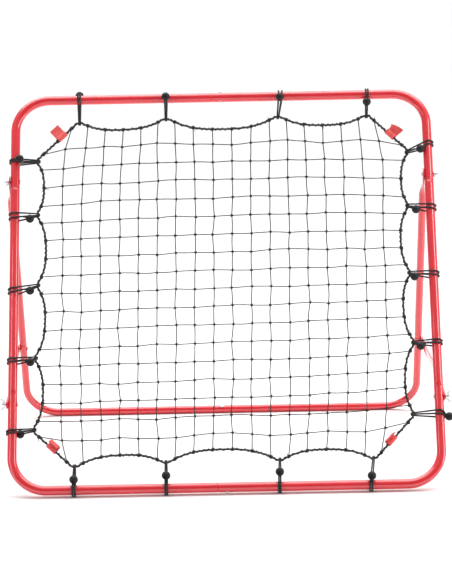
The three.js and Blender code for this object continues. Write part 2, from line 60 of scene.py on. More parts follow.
# Floor and light. A seamless pale studio floor in a bright white room whose camera end is darker, one big
# soft box overhead that draws a line along the top of each bar, and a strip box off each side.
FLOOR_REACH = 40
FLOOR_PALE = (0.90, 0.90, 0.90, 1)
FLOOR_SHADE = (0.87, 0.87, 0.87, 1)
ROOM_BRIGHT_WAY = (0, 0.6, 0.8)


def new_finish(name, roughness, metallic=0.0, specular=0.5):
    """A material and its shader. Numbers that are even all over go on the shader's own sockets."""
    finish = bpy.data.materials.new(name)
    finish.use_nodes = True
    shader = finish.node_tree.nodes["Principled BSDF"]
    shader.inputs["Roughness"].default_value = roughness
    shader.inputs["Metallic"].default_value = metallic
    shader.inputs["Specular IOR Level"].default_value = specular
    return finish, shader


def add_node(finish, kind, settings=None, inputs=None):
    node = finish.node_tree.nodes.new(kind)
    for setting, value in (settings or {}).items():
        setattr(node, setting, value)
    for socket, value in (inputs or {}).items():
        if isinstance(value, bpy.types.NodeSocket):
            finish.node_tree.links.new(value, node.inputs[socket])
        else:
            node.inputs[socket].default_value = value
    return node


def mottle(finish, scale, detail=2.0, stretch=(1, 1, 1)):
    """Cloudy noise fixed to the piece, with scale in blotches per metre."""
    coords = add_node(finish, "ShaderNodeTexCoord").outputs["Object"]
    spread = add_node(finish, "ShaderNodeMapping", inputs={"Vector": coords, "Scale": stretch})
    inputs = {"Vector": spread.outputs["Vector"], "Scale": scale, "Detail": detail}
    return add_node(finish, "ShaderNodeTexNoise", inputs=inputs).outputs["Fac"]


def ramp(finish, factor, stops):
    """Colours, or greys, along a factor: stops are (place, colour)."""
    node = add_node(finish, "ShaderNodeValToRGB", inputs={"Fac": factor})
    elements = node.color_ramp.elements
    while len(elements) < len(stops):
        elements.new(0.5)
    for element, (place, colour) in zip(elements, stops):
        element.position = place
        element.color = colour if hasattr(colour, "__len__") else (colour, colour, colour, 1)
    return node.outputs["Color"]


def raise_surface(finish, shader, height, strength, distance):
    """Adds a relief over whatever relief the shader already has."""
    bump = add_node(finish, "ShaderNodeBump", inputs={"Height": height})
    bump.inputs["Strength"].default_value = strength
    bump.inputs["Distance"].default_value = distance
    under = shader.inputs["Normal"].links
    if under:
        finish.node_tree.links.new(under[0].from_socket, bump.inputs["Normal"])
    finish.node_tree.links.new(bump.outputs["Normal"], shader.inputs["Normal"])


def colour_from(finish, shader, socket, name="Base Color"):
    finish.node_tree.links.new(socket, shader.inputs[name])


studio_floor, floor_shader = new_finish("studio_floor", 0.9, specular=0.1)
floor_tone = ramp(studio_floor, mottle(studio_floor, 1.5), [(0.3, FLOOR_SHADE), (0.7, FLOOR_PALE)])
colour_from(studio_floor, floor_shader, floor_tone)
floor_mesh = bpy.data.meshes.new("floor")
edge = FLOOR_REACH
floor_mesh.from_pydata([(-edge, -edge, 0), (edge, -edge, 0), (edge, edge, 0), (-edge, edge, 0)], [], [(0, 1, 2, 3)])
floor_mesh.materials.append(studio_floor)
floor = bpy.data.objects.new("floor", floor_mesh)
bpy.context.collection.objects.link(floor)

room = bpy.data.worlds.new("studio")
room.use_nodes = True
way = add_node(room, "ShaderNodeTexCoord").outputs["Generated"]
toward_bright = add_node(room, "ShaderNodeVectorMath", {"operation": "DOT_PRODUCT"}, {0: way, 1: ROOM_BRIGHT_WAY})
rising = {"Value": toward_bright.outputs["Value"], "From Min": -1.0, "From Max": 1.0}
share_bright = add_node(room, "ShaderNodeMapRange", inputs=rising).outputs["Result"]
room_tone = ramp(room, share_bright, [(0.25, 0.08), (0.45, 0.20), (0.68, 0.42), (1.0, 0.72)])
room_light = room.node_tree.nodes["Background"]
room.node_tree.links.new(room_tone, room_light.inputs["Color"])
room_light.inputs["Strength"].default_value = 1.0
bpy.context.scene.world = room
bpy.context.scene.view_settings.view_transform = "Standard"


def soft_box(name, place, aim, size, power):
    lamp = bpy.data.lights.new(name, "AREA")
    lamp.shape = "RECTANGLE"
    lamp.size, lamp.size_y = size
    lamp.energy = power
    box = bpy.data.objects.new(name, lamp)
    toward = Matrix.Translation(place).to_translation() - Matrix.Translation(aim).to_translation()
    box.matrix_world = Matrix.Translation(place) @ toward.to_track_quat("Z", "Y").to_matrix().to_4x4()
    bpy.context.collection.objects.link(box)


soft_box("overhead_box", (0.2, 1.1, 3.4), (0, 0, 0.3), (5.0, 0.7), 46)
soft_box("right_strip_box", (2.0, -0.5, 1.1), (0.4, -0.1, 0.4), (0.42, 2.2), 22)
soft_box("left_strip_box", (-2.2, -1.3, 1.3), (-0.4, -0.1, 0.4), (0.30, 2.2), 13)
ceiling = bpy.data.lights.new("ceiling_bounce", "SUN")
ceiling.energy = 2.15
ceiling.angle = math.radians(70)
ceiling_lamp = bpy.data.objects.new("ceiling_bounce", ceiling)
ceiling_lamp.rotation_euler = (math.radians(-20), 0, 0)
bpy.context.collection.objects.link(ceiling_lamp)

# Front frame. Six lengths of 22 mm steel tube, the four corners bent. Both ends of each side, and each
# left corner at the middle of its bar, are swaged to slip inside the next tube. All are powder coated coral.
FRONT_LEAN = math.radians(33.5)
FRONT_BAR = (-0.38, 0.01535)  # y and z of the bottom bar's centre line
FRONT_TUBE = 0.011
WALL = 0.0012
HALF_WIDTH = 0.489  # centre line of a side from the middle
FRAME_TOP = 0.978
BEND = 0.08
UPPER_SEAM = 0.750
LOWER_SEAM = 0.234
CENTRE_SEAM = -0.021
SPIGOT = 0.043
SEAM_GAP = 0.0003
SHOULDER = 0.0015  # how long the step down to a swaged end is
LIP_ROUND = 0.00035
TUBE_FACETS = 48
CORAL = (0.80, 0.020, 0.034, 1)
CORAL_DEEP = (0.70, 0.014, 0.025, 1)
CORAL_SCUFF = (0.74, 0.13, 0.14, 1)

lean_sin, lean_cos = math.sin(FRONT_LEAN), math.cos(FRONT_LEAN)
# Local axes of the front frame: x across, y up the frame, z out toward the player
FRONT = Matrix((
    (1, 0, 0, 0),
    (0, lean_sin, -lean_cos, FRONT_BAR[0]),
    (0, lean_cos, lean_sin, FRONT_BAR[1]),
    (0, 0, 0, 1),
))


def unit(vectors):
    return vectors / np.linalg.norm(vectors, axis=-1, keepdims=True)


def sides_along(points, up=(0, 0, 1), closed=False):
    """The two directions across a route at each of its points."""
    if closed:
        ahead = np.roll(points, -1, axis=0) - np.roll(points, 1, axis=0)
    else:
        ahead = np.gradient(points, axis=0)
    ahead = unit(ahead)
    right = unit(np.cross(np.broadcast_to(up, ahead.shape), ahead))
    return right, np.cross(ahead, right)


def skin(points, sides, rings, closed=False, capped=True):
    """A surface through one ring round each point: vertices, faces and how far round and along each is."""
    right, above = sides
    rings = np.broadcast_to(rings, (len(points), *np.shape(rings)[-2:]))
    vertices = points[:, None] + rings[..., :1] * right[:, None] + rings[..., 1:] * above[:, None]
    count, around = vertices.shape[:2]
    steps = np.linalg.norm(np.diff(points, axis=0, append=points[:1]), axis=1)
    along = np.concatenate([[0], np.cumsum(steps)])
    i, j = np.meshgrid(np.arange(count if closed else count - 1), np.arange(around), indexing="ij")
    after, beside = (i + 1) % count, (j + 1) % around
    quads = np.stack([i * around + j, i * around + beside, after * around + beside, after * around + j], -1)
    faces = quads.reshape(-1, 4).tolist()
    low, high = along[i], along[i + 1]
    turn, next_turn = j / around, (j + 1) / around
    run = np.stack([turn, low, next_turn, low, next_turn, high, turn, high], -1).ravel()
    if capped and not closed:
        faces.append(list(range(around - 1, -1, -1)))
        faces.append(list(range((count - 1) * around, count * around)))
        run = np.concatenate([run, np.zeros(4 * around)])
    return vertices.reshape(-1, 3), faces, run


def make_piece(name, skins, place, finish, sharp_over=40):
    """One object out of any number of skins."""
    vertices, faces, first = [], [], 0
    for points, polygons, _ in skins:
        vertices.append(points)
        faces.extend([first + k for k in polygon] for polygon in polygons)
        first += len(points)
    mesh = bpy.data.meshes.new(name)
    mesh.from_pydata(np.concatenate(vertices).tolist(), [], faces)
    mesh.transform(place)
    runs = mesh.uv_layers.new(name="round_and_along")
    runs.data.foreach_set("uv", np.concatenate([run for _, _, run in skins]).astype(np.float32))
    mesh.shade_smooth()
    mesh.set_sharp_from_angle(angle=math.radians(sharp_over))
    mesh.materials.append(finish)
    piece = bpy.data.objects.new(name, mesh)
    bpy.context.collection.objects.link(piece)
    return piece


def fit_piece(piece, body, slot, *nodes):
    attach(piece, body)
    if nodes:
        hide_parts(*nodes)


def bake_modifiers(piece):
    """Makes a piece's modifiers part of its mesh."""
    shaped = piece.evaluated_get(bpy.context.evaluated_depsgraph_get())
    mesh = bpy.data.meshes.new_from_object(shaped)
    piece.modifiers.clear()
    piece.data = mesh
    mesh.shade_smooth()
    mesh.set_sharp_from_angle(angle=math.radians(40))


def cut_away(piece, cutters):
    for cutter in cutters:
        hole = piece.modifiers.new("hole", "BOOLEAN")
        hole.operation = "DIFFERENCE"
        hole.solver = "EXACT"
        hole.object = cutter
    bpy.context.view_layer.update()
    bake_modifiers(piece)
    for cutter in cutters:
        bpy.data.objects.remove(cutter)


def circle(radius, count, start=0.0):
    turns = start + 2 * math.pi * np.arange(count) / count
    return np.stack([radius * np.cos(turns), radius * np.sin(turns)], -1)


def drill_bit(place, start, stop, radius):
    """A round cutter between two points."""
    route = np.array([start, stop], dtype=float)
    up = (0, 0, 1) if abs(route[1, 2] - route[0, 2]) < 1e-6 else (1, 0, 0)
    return make_piece("drill_bit", [skin(route, sides_along(route, up), circle(radius, 28))], place, powder_coat)


def steel_tube(name, route, radii, place):
    """A tube with a real wall and rounded lips: radii are its outside at each point of the route."""
    radii = np.asarray(radii)
    route = np.asarray(route, dtype=float)
    right, above = sides_along(route)
    ends = [0, len(route) - 1]
    outside = radii.copy()
    outside[ends] -= LIP_ROUND
    order = [*range(len(route)), *reversed(range(len(route)))]
    walls = np.concatenate([outside, (radii - WALL)[::-1]])
    tube = skin(route[order], (right[order], above[order]),
                walls[:, None, None] * circle(1, TUBE_FACETS)[None], closed=True)
    return make_piece(name, [tube], place, powder_coat)


def straight_steps(start, stop, step=0.03):
    count = max(2, int(abs(np.subtract(stop, start)).max() / step) + 1)
    return np.linspace(start, stop, count)


def bend_steps(corner, into, away, count=26):
    turns = np.linspace(0, math.pi / 2, count)[:, None]
    corner, into, away = (np.asarray(v, dtype=float) for v in (corner, into, away))
    return corner + into * BEND * (np.sin(turns) - 1) + away * BEND * (1 - np.cos(turns))


def swaged_end(radius):
    """Rings of an end that slips into a tube of the same size: distance from its step, and radius, tip first."""
    small = radius - WALL - 0.0005
    return [(-SPIGOT, small), (-SPIGOT + LIP_ROUND, small), (0, small),
            (SHOULDER / 2, (small + radius) / 2 + 0.0003), (SHOULDER, radius)]


def corner_tube(name, side, bar_up, end_up, radius, place):
    """Half a bar, a bend, and one end of a side. The left half carries the bar's swaged end."""
    rise = 1 if end_up > bar_up else -1
    if side < 0:
        start = [(CENTRE_SEAM - along, bar_up, 0) for along, _ in swaged_end(radius)]
        start_radii = [ring for _, ring in swaged_end(radius)]
    else:
        start = [(CENTRE_SEAM + SEAM_GAP, bar_up, 0), (CENTRE_SEAM + SEAM_GAP + LIP_ROUND, bar_up, 0)]
        start_radii = [radius, radius]
    bar_from = start[-1][0] + side * 0.004
    bend = bend_steps((side * HALF_WIDTH, bar_up, 0), (side, 0, 0), (0, rise, 0))
    along_bar = straight_steps((bar_from, bar_up, 0), bend[0])[:-1]
    up_side = straight_steps(bend[-1], (side * HALF_WIDTH, end_up - rise * LIP_ROUND, 0))[1:]
    route = np.concatenate([start, along_bar, bend, up_side, [(side * HALF_WIDTH, end_up, 0)]])
    radii = np.full(len(route), radius)
    radii[: len(start)] = start_radii
    return steel_tube(name, route, radii, place)


def side_tube(name, side):
    bottom, top = LOWER_SEAM + SEAM_GAP, UPPER_SEAM - SEAM_GAP
    ends = [(bottom + up, radius) for up, radius in swaged_end(FRONT_TUBE)]
    middle = [(up, FRONT_TUBE) for up in np.linspace(bottom + 0.01, top - 0.01, 12)]
    heights = ends + middle + [(top + bottom - up, radius) for up, radius in reversed(ends)]
    route = [(side * HALF_WIDTH, up, 0) for up, _ in heights]
    return steel_tube(name, route, [radius for _, radius in heights], FRONT)


# Powder coat: a faint orange peel, soft clouding of the colour, and fine rubbed marks
powder_coat, coat_shader = new_finish("coral_powder_coat", 0.3, specular=0.2)
coat_shader.inputs["Coat Weight"].default_value = 1.0
coat_shader.inputs["Coat IOR"].default_value = 1.75
coat_shader.inputs["Coat Roughness"].default_value = 0.035
clouds = ramp(powder_coat, mottle(powder_coat, 14, 3), [(0.3, CORAL_DEEP), (0.7, CORAL)])
rubs = ramp(powder_coat, mottle(powder_coat, 70, 4, (1, 0.25, 1)), [(0.70, 0), (0.80, 0.55)])
worn = add_node(powder_coat, "ShaderNodeMix", {"data_type": "RGBA"}, {"Factor": rubs})
powder_coat.node_tree.links.new(clouds, worn.inputs["A"])
worn.inputs["B"].default_value = CORAL_SCUFF
colour_from(powder_coat, coat_shader, worn.outputs["Result"])
colour_from(powder_coat, coat_shader, ramp(powder_coat, mottle(powder_coat, 45, 2), [(0.3, 0.30), (0.7, 0.42)]),
            "Roughness")
raise_surface(powder_coat, coat_shader, mottle(powder_coat, 650, 1), 0.14, 0.0002)

SCREW_HOLE = 0.0029
INSERT_HOLE = 0.0041


def screw_holes(bar_up, head_side, place):
    """Through a bar's middle: small on the screw head's side, larger on the insert's side."""
    middle = (0, bar_up, 0)
    return [drill_bit(place, middle, (0, bar_up + head_side * 0.02, 0), SCREW_HOLE),
            drill_bit(place, middle, (0, bar_up - head_side * 0.02, 0), INSERT_HOLE)]


for side_name, side in (("left", -1), ("right", 1)):
    for level, bar_up, end_up, head_side in (("top", FRAME_TOP, UPPER_SEAM, 1), ("bottom", 0, LOWER_SEAM, -1)):
        node = f"front_{level}_corner_{side_name}"
        tube = corner_tube(f"{node}_pipe", side, bar_up, end_up, FRONT_TUBE, FRONT)
        cut_away(tube, screw_holes(bar_up, head_side, FRONT))
        fit_piece(tube, "front_frame", "red_paint", node)
    node = f"front_side_tube_{side_name}"
    fit_piece(side_tube(f"{node}_pipe", side), "front_frame", "red_paint", node)

# Rear frame. A U of thinner 19 mm tube, coated the same red: two bent corners that meet in the ground bar,
# and two legs whose upper tips are pressed flat, rounded off and punched for the hinge bolts.
HINGE_UP = 0.767  # up the front frame
REAR_TUBE = 0.00917
REAR_BAR = (0.38, 0.009176)
REAR_SHIFT = 0.0128
REAR_SEAM = 0.227
HINGE_Y = FRONT_BAR[0] + HINGE_UP * lean_sin
HINGE_Z = FRONT_BAR[1] + HINGE_UP * lean_cos
REAR_LEAN = math.atan2(REAR_BAR[0] - HINGE_Y, HINGE_Z - REAR_BAR[1])
LEG_TOP = math.hypot(REAR_BAR[0] - HINGE_Y, HINGE_Z - REAR_BAR[1])
TIP_HALF_THICK = 0.0015
TIP_HALF_WIDTH = 0.014
PRESSED_FROM = 0.060  # below the hinge bolt
PRESSED_FLAT_BY = 0.030
BOLT_HOLE = 0.0034

rear_sin, rear_cos = math.sin(REAR_LEAN), math.cos(REAR_LEAN)
REAR = Matrix((
    (1, 0, 0, -REAR_SHIFT),
    (0, -rear_sin, -rear_cos, REAR_BAR[0]),
    (0, rear_cos, -rear_sin, REAR_BAR[1]),
    (0, 0, 0, 1),
))


def ease(value, start, stop):
    share = np.clip((value - start) / (stop - start), 0, 1)
    return share * share * (3 - 2 * share)


def leg_ring(up):
    """A leg's outline at one height: round, then pressed flat, then narrowed round its end."""
    turns = 2 * math.pi * np.arange(TUBE_FACETS) / TUBE_FACETS
    past = max(0.0, up - LEG_TOP)
    half_width = math.sqrt(max(TIP_HALF_WIDTH ** 2 - past ** 2, 1e-8))
    across = half_width * np.sin(turns)
    edge = np.clip((np.abs(across) - (half_width - TIP_HALF_THICK)) / TIP_HALF_THICK, 0, 1)
    thick = TIP_HALF_THICK * np.sign(np.cos(turns)) * np.sqrt(np.maximum(1 - edge ** 2, 0))
    flat = ease(up, LEG_TOP - PRESSED_FROM, LEG_TOP - PRESSED_FLAT_BY)
    round_ring = circle(REAR_TUBE, TUBE_FACETS)
    return round_ring * (1 - flat) + np.stack([thick, across], -1) * flat


def straight_sides(count, right=(1.0, 0, 0), above=(0, 0, -1.0)):
    """The same two directions across a straight route at each of its points."""
    return np.tile(right, (count, 1)), np.tile(above, (count, 1))


def rear_leg(name, side):
    bottom = REAR_SEAM + SEAM_GAP
    outer = [(bottom + up, radius) for up, radius in swaged_end(REAR_TUBE)]
    small = outer[0][1]
    outer[0] = (bottom - SPIGOT, small - LIP_ROUND)
    unit_ring = circle(1, TUBE_FACETS)
    bore_top = LEG_TOP - PRESSED_FROM - 0.004
    inner = [(bore_top, REAR_TUBE - WALL), (bottom + 0.003, REAR_TUBE - WALL), (bottom, small - WALL),
             (bottom - SPIGOT, small - WALL)]
    outer += [(up, REAR_TUBE) for up in np.linspace(bottom + 0.01, bore_top, 12)]
    rings = [(up, radius * unit_ring) for up, radius in inner + outer]
    pressed = np.linspace(LEG_TOP - PRESSED_FROM, LEG_TOP, 25)
    rounded = LEG_TOP + TIP_HALF_WIDTH * np.sin(np.radians(np.linspace(8, 84, 12)))
    rings += [(up, leg_ring(up)) for up in np.concatenate([pressed, rounded])]
    route = np.array([(side * HALF_WIDTH, up, 0) for up, _ in rings])
    outlines = np.array([ring for _, ring in rings])
    return make_piece(name, [skin(route, straight_sides(len(route)), outlines)], REAR, powder_coat)


for side_name, side in (("left", -1), ("right", 1)):
    node = f"rear_bottom_corner_{side_name}"
    tube = corner_tube(f"{node}_pipe", side, 0, REAR_SEAM, REAR_TUBE, REAR)
    cut_away(tube, screw_holes(0, 1, REAR))
    fit_piece(tube, "rear_frame", "red_paint", node)
    node = f"rear_leg_{side_name}"
    leg = rear_leg(f"{node}_pipe", side)
    x = side * HALF_WIDTH
    cut_away(leg, [drill_bit(REAR, (x - 0.02, LEG_TOP, 0), (x + 0.02, LEG_TOP, 0), BOLT_HOLE)])
    fit_piece(leg, "rear_frame", "red_paint", node)

# Side brace bars. Flat 20 x 3 mm steel, coated red, set over a little to run from outside the front frame
# to outside the rear one. A round hole takes the front bolt, and a hook slot drops over the rear bolt.
FRONT_BRACE_UP = 0.209
REAR_BRACE_UP = 0.212
BAR_HALF_WIDTH = 0.010
BAR_HALF_THICK = 0.0015
BAR_EDGE = 0.0006
BRACE_SWING_RATIO = 1.1
BRACE_X = HALF_WIDTH + FRONT_TUBE + SEAM_GAP + BAR_HALF_THICK

pin_y = FRONT_BAR[0] + FRONT_BRACE_UP * lean_sin
pin_z = FRONT_BAR[1] + FRONT_BRACE_UP * lean_cos
hook_y = REAR_BAR[0] - REAR_BRACE_UP * rear_sin
hook_z = REAR_BAR[1] + REAR_BRACE_UP * rear_cos
BAR_LENGTH = math.hypot(hook_y - pin_y, hook_z - pin_z)
BAR_RISE = math.atan2(hook_z - pin_z, hook_y - pin_y)
hook_forward = HINGE_Z - hook_z
hook_down = hook_y - HINGE_Y + BRACE_SWING_RATIO * BAR_LENGTH
SLOT_TURN = math.pi / 2 - math.atan2(hook_forward, hook_down) - BAR_RISE


def bar_ring(half_width):
    """A rolled strip's section: flat faces with small rounded edges."""
    corners = [(1, 1, 0), (-1, 1, 90), (-1, -1, 180), (1, -1, 270)]
    ring = []
    round_by = min(BAR_EDGE, half_width * 0.9)
    for sx, sy, start in corners:
        for turn in np.radians(np.linspace(start, start + 90, 5)):
            ring.append((sx * (BAR_HALF_THICK - BAR_EDGE) + BAR_EDGE * math.cos(turn),
                         sy * (half_width - round_by) + round_by * math.sin(turn)))
    return np.array(ring)


def brace_bar(name, place, side_step, step_from, step_to):
    ends = BAR_HALF_WIDTH * np.sin(np.radians(np.linspace(86, 6, 14)))
    ups = np.concatenate([-ends, np.linspace(0, BAR_LENGTH, 60), BAR_LENGTH + ends[::-1]])
    past = np.maximum(0, np.maximum(-ups, ups - BAR_LENGTH))
    widths = np.sqrt(np.maximum(BAR_HALF_WIDTH ** 2 - past ** 2, 1e-8))
    route = np.stack([side_step * ease(ups, step_from, step_to), ups, 0 * ups], -1)
    rings = np.array([bar_ring(width) for width in widths])
    bar = make_piece(name, [skin(route, straight_sides(len(ups)), rings)], place, powder_coat)
    reach = 0.03
    cutters = [drill_bit(place, (-reach, up, 0), (reach, up, 0), BOLT_HOLE) for up in (0, BAR_LENGTH)]
    down = np.array([0, -math.cos(SLOT_TURN), -math.sin(SLOT_TURN)])
    middle = np.array([0, BAR_LENGTH, 0])
    slot_route = np.array([middle, middle + down * reach])
    across = np.array([[reach, -BOLT_HOLE], [reach, BOLT_HOLE], [-reach, BOLT_HOLE], [-reach, -BOLT_HOLE]])
    slot_sides = straight_sides(2, above=np.cross(down, [1.0, 0, 0]))
    cutters.append(make_piece("slot_cutter", [skin(slot_route, slot_sides, across)], place, powder_coat))
    cut_away(bar, cutters)
    return bar


for side_name, side, side_step, step_from, step_to in (
    ("left", -1, -0.0113, 0.040, 0.330),
    ("right", 1, -0.0143, 0.170, 0.520),
):
    place = Matrix.Translation((side * BRACE_X, pin_y, pin_z)) @ Matrix.Rotation(BAR_RISE, 4, "X")
    bar = brace_bar(f"brace_bar_{side_name}_strip", place, side_step, step_from, step_to)
    fit_piece(bar, f"brace_{side_name}", "red_paint", f"brace_bar_{side_name}")

# Bolts, screws and inserts. Pan-head M6 bolts with rolled threads hold the hinges and brace bars, and an
# M5 screw with a threaded insert locks each bar's slip joint. All are bright zinc plated steel.
BOLT = 0.003
PITCH = 0.001
THREAD_DEPTH = 0.00032
REAR_SEAT = 0.0095  # of a bolt or screw on the rear tube, from the tube's middle
ZINC_PALE = (0.80, 0.81, 0.83, 1)
ZINC_GREY = (0.60, 0.61, 0.64, 1)

zinc, zinc_shader = new_finish("bright_zinc_plate", 0.35, metallic=0.9)
colour_from(zinc, zinc_shader, ramp(zinc, mottle(zinc, 260, 3), [(0.35, ZINC_GREY), (0.65, ZINC_PALE)]))
colour_from(zinc, zinc_shader, ramp(zinc, mottle(zinc, 420, 2), [(0.3, 0.26), (0.7, 0.46)]), "Roughness")
raise_surface(zinc, zinc_shader, mottle(zinc, 1500, 2), 0.15, 0.0001)


def turned_skin(profile, facets=32, closed=False):
    """A skin turned about y from (radius, y) pairs."""
    profile = np.array(profile)
    route = np.stack([0 * profile[:, 1], profile[:, 1], 0 * profile[:, 1]], -1)
    return skin(route, straight_sides(len(route)), profile[:, :1, None] * circle(1, facets)[None], closed)


def thread(start, stop, radius, facets=24):
    """A rolled thread from start to stop along y, with a chamfered point."""
    ups = np.arange(start, stop, PITCH / 5)
    turns = np.arange(facets) / facets
    wave = np.abs(((ups[:, None] / PITCH - turns[None]) % 1) - 0.5) * 2
    fade = np.clip((ups - start) / PITCH, 0, 1) * np.clip((stop - ups) / (2 * PITCH), 0.25, 1)
    radii = radius * np.clip((stop - ups) / 0.0006, 0.8, 1)[:, None] - THREAD_DEPTH * wave * fade[:, None]
    route = np.stack([0 * ups, ups, 0 * ups], -1)
    return skin(route, straight_sides(len(ups)), radii[..., None] * circle(1, facets)[None])


def pan_head(name, radius, length, head_radius, head_height, place):
    """A bolt or screw along +y with its head's seat at 0, a domed head and a cross recess."""
    dome = [(head_radius * math.sin(turn), -head_height * math.cos(turn) * 0.97 - head_height * 0.03)
            for turn in np.radians([4, 15, 28, 41, 54, 66, 76])]
    head = [*dome, (head_radius, -head_height * 0.18), (head_radius, -head_height * 0.08),
            (head_radius * 0.97, 0), (radius, 0), (radius, length * 0.35)]
    bolt = make_piece(name, [turned_skin(head)], place, zinc)
    wide, narrow, deep = head_radius * 0.52, head_radius * 0.1, head_height * 0.55
    cutters = []
    for long_x, long_z in ((wide, narrow), (narrow, wide)):
        route = np.array([(0, -head_height - 0.001, 0), (0, -head_height + deep, 0)])
        ring = np.array([(long_x, -long_z), (long_x, long_z), (-long_x, long_z), (-long_x, -long_z)])
        shrink = np.array([1.25, 0.7])[:, None, None]
        cutters.append(make_piece("recess", [skin(route, straight_sides(2), ring * shrink)], place, zinc))
    cut_away(bolt, cutters)
    shank = make_piece(f"{name}_thread", [thread(length * 0.35 - 0.0005, length, radius * 0.985)], place, zinc)
    return bolt, shank


def fit_bolt(node, radius, length, head, place, body):
    bolt, shank = pan_head(f"{node}_zinc", radius, length, *head, place)
    fit_piece(bolt, body, "zinc_hardware", node)
    fit_piece(shank, body, "zinc_hardware")


inside_seat = HALF_WIDTH - FRONT_TUBE - SEAM_GAP
outside_seat = HALF_WIDTH + FRONT_TUBE + SEAM_GAP
tip_thick = 2 * TIP_HALF_THICK
bar_thick = 2 * BAR_HALF_THICK
rear_inside = HALF_WIDTH - REAR_SEAT - SEAM_GAP
rear_outside = HALF_WIDTH + REAR_SEAT + bar_thick + 2 * SEAM_GAP
# name, frame, body, side, height, head's seat, nut's seat, and how far its wings are turned
SIDE_BOLTS = (
    ("hinge_left", FRONT, "front_frame", -1, HINGE_UP, inside_seat, outside_seat + tip_thick + SEAM_GAP, 0.5),
    ("hinge_right", FRONT, "front_frame", 1, HINGE_UP, inside_seat - tip_thick - SEAM_GAP, outside_seat, -0.4),
    ("brace_front_left", FRONT, "front_frame", -1, FRONT_BRACE_UP, inside_seat,
     outside_seat + bar_thick + SEAM_GAP, -0.7),
    ("brace_front_right", FRONT, "front_frame", 1, FRONT_BRACE_UP, inside_seat,
     outside_seat + bar_thick + SEAM_GAP, 0.7),
    ("brace_rear_left", REAR, "rear_frame", -1, REAR_BRACE_UP, rear_inside, rear_outside, -1.1),
    ("brace_rear_right", REAR, "rear_frame", 1, REAR_BRACE_UP, rear_inside, rear_outside, 1.1),
)
PAST_NUT = 0.011
for name, place, body, side, up, head_seat, nut_seat, _ in SIDE_BOLTS:
    outward = Matrix.Rotation(-side * math.pi / 2, 4, "Z")
    at = place @ Matrix.Translation((side * head_seat, up, 0)) @ outward
    fit_bolt(f"{name}_bolt", BOLT, nut_seat - head_seat + PAST_NUT, (0.0058, 0.0033), at, body)

for bar_name, place, body, bar_up, head_side, radius in (
    ("top_bar", FRONT, "front_frame", FRAME_TOP, 1, FRONT_TUBE),
    ("bottom_bar", FRONT, "front_frame", 0, -1, FRONT_TUBE),
    ("rear_bar", REAR, "rear_frame", 0, 1, REAR_SEAT),
):
    turned = Matrix.Rotation(math.pi if head_side > 0 else 0, 4, "X")
    seat = place @ Matrix.Translation((0, bar_up + head_side * (radius + 0.0001), 0)) @ turned
    fit_bolt(f"{bar_name}_screw", 0.0025, 2 * radius - 0.0015, (0.005, 0.0024), seat, body)
    flush = radius * 0.88
    ring = [(0.0028, 0.0045), (0.0038, 0.0045), (0.0038, flush - 0.0006), (0.0035, flush), (0.0028, flush)]
    node = f"{bar_name}_insert"
    insert = make_piece(f"{node}_sleeve", [turned_skin(ring, 28, closed=True)],
                        place @ Matrix.Translation((0, bar_up, 0)) @ turned, zinc)
    fit_piece(insert, body, "zinc_hardware", node)

# Wing nuts. Die-cast zinc, with a tapered hub and two ears that grow out of it in a V, all the edges
# softened by the casting. They are spun on by hand, so each stands at its own angle.
CAST_GRAIN = 0.00042
EAR_HALF_THICK = 0.0012


def ear_curve(start, pull, stop):
    """A curve from start to stop that bows toward pull, without its first point."""
    share = np.linspace(0.2, 1, 5)[:, None]
    start, pull, stop = map(np.array, (start, pull, stop))
    return (1 - share) ** 2 * start + 2 * share * (1 - share) * pull + share ** 2 * stop


ear_outline = np.concatenate([
    [(0.0043, 0.0015), (0.0065, 0.0015), (0.0145, 0.008)],
    ear_curve((0.0145, 0.008), (0.0165, 0.0125), (0.013, 0.014)),
    ear_curve((0.013, 0.014), (0.0085, 0.013), (0.0043, 0.007)),
])


def wing_nut(name, place):
    hub = [(0.0033, 0), (0.0065, 0), (0.0066, 0.0012), (0.0054, 0.0078), (0.0050, 0.0082), (0.0033, 0.0082)]
    skins = [turned_skin(hub, 40, closed=True)]
    for half in (1, -1):
        route = np.array([(0, 0, -EAR_HALF_THICK), (0, 0, EAR_HALF_THICK)])
        points, faces, run = skin(route, straight_sides(2, above=(0, 1.0, 0)), ear_outline)
        skins.append((points * (half, 1, half), faces, run))
    nut = make_piece(name, skins, place, zinc)
    cast = nut.modifiers.new("cast", "REMESH")
    cast.mode = "VOXEL"
    cast.voxel_size = CAST_GRAIN
    soften = nut.modifiers.new("soften", "SMOOTH")
    soften.factor = 0.5
    soften.iterations = 5
    bake_modifiers(nut)
    return nut


for name, place, _, side, up, _, nut_seat, turn in SIDE_BOLTS:
    outward = Matrix.Rotation(-side * math.pi / 2, 4, "Z") @ Matrix.Rotation(turn, 4, "Y")
    at = place @ Matrix.Translation((side * nut_seat, up, 0)) @ outward
    node = f"{name}_wing_nut"
    fit_piece(wing_nut(f"{node}_casting", at), node, "zinc_hardware", node)

# Border rope. Three strands of black polypropylene laid together, run through the net's edge meshes and
# pulled out by eighteen elastic loops, so it hangs in between them and runs straight across each corner.
HALF_PINCH = 0.006
SCALLOP = 0.115  # how far the border hangs in, as a share of each span
SCALLOP_FLAT = 2.7  # higher is flatter in the middle and steeper by each loop
STRAND = 0.00125  # radius of each of the three
STRAND_OUT = 0.00145  # its distance from the rope's middle
LAY = 0.017  # length of one turn of the strands
ROPE_STEP = 0.0022
LASHING = 0.0009  # radius of the finer twine wound round the strands
LASHING_OUT = 0.0029
LASHING_LIFT = 0.0005
LASHING_LAY = 0.014
LASHING_STEP = 0.0013
LOOSE_FILAMENTS = 260
BLACK_TWINE = (0.016, 0.016, 0.018, 1)
WORN_TWINE = (0.085, 0.083, 0.083, 1)
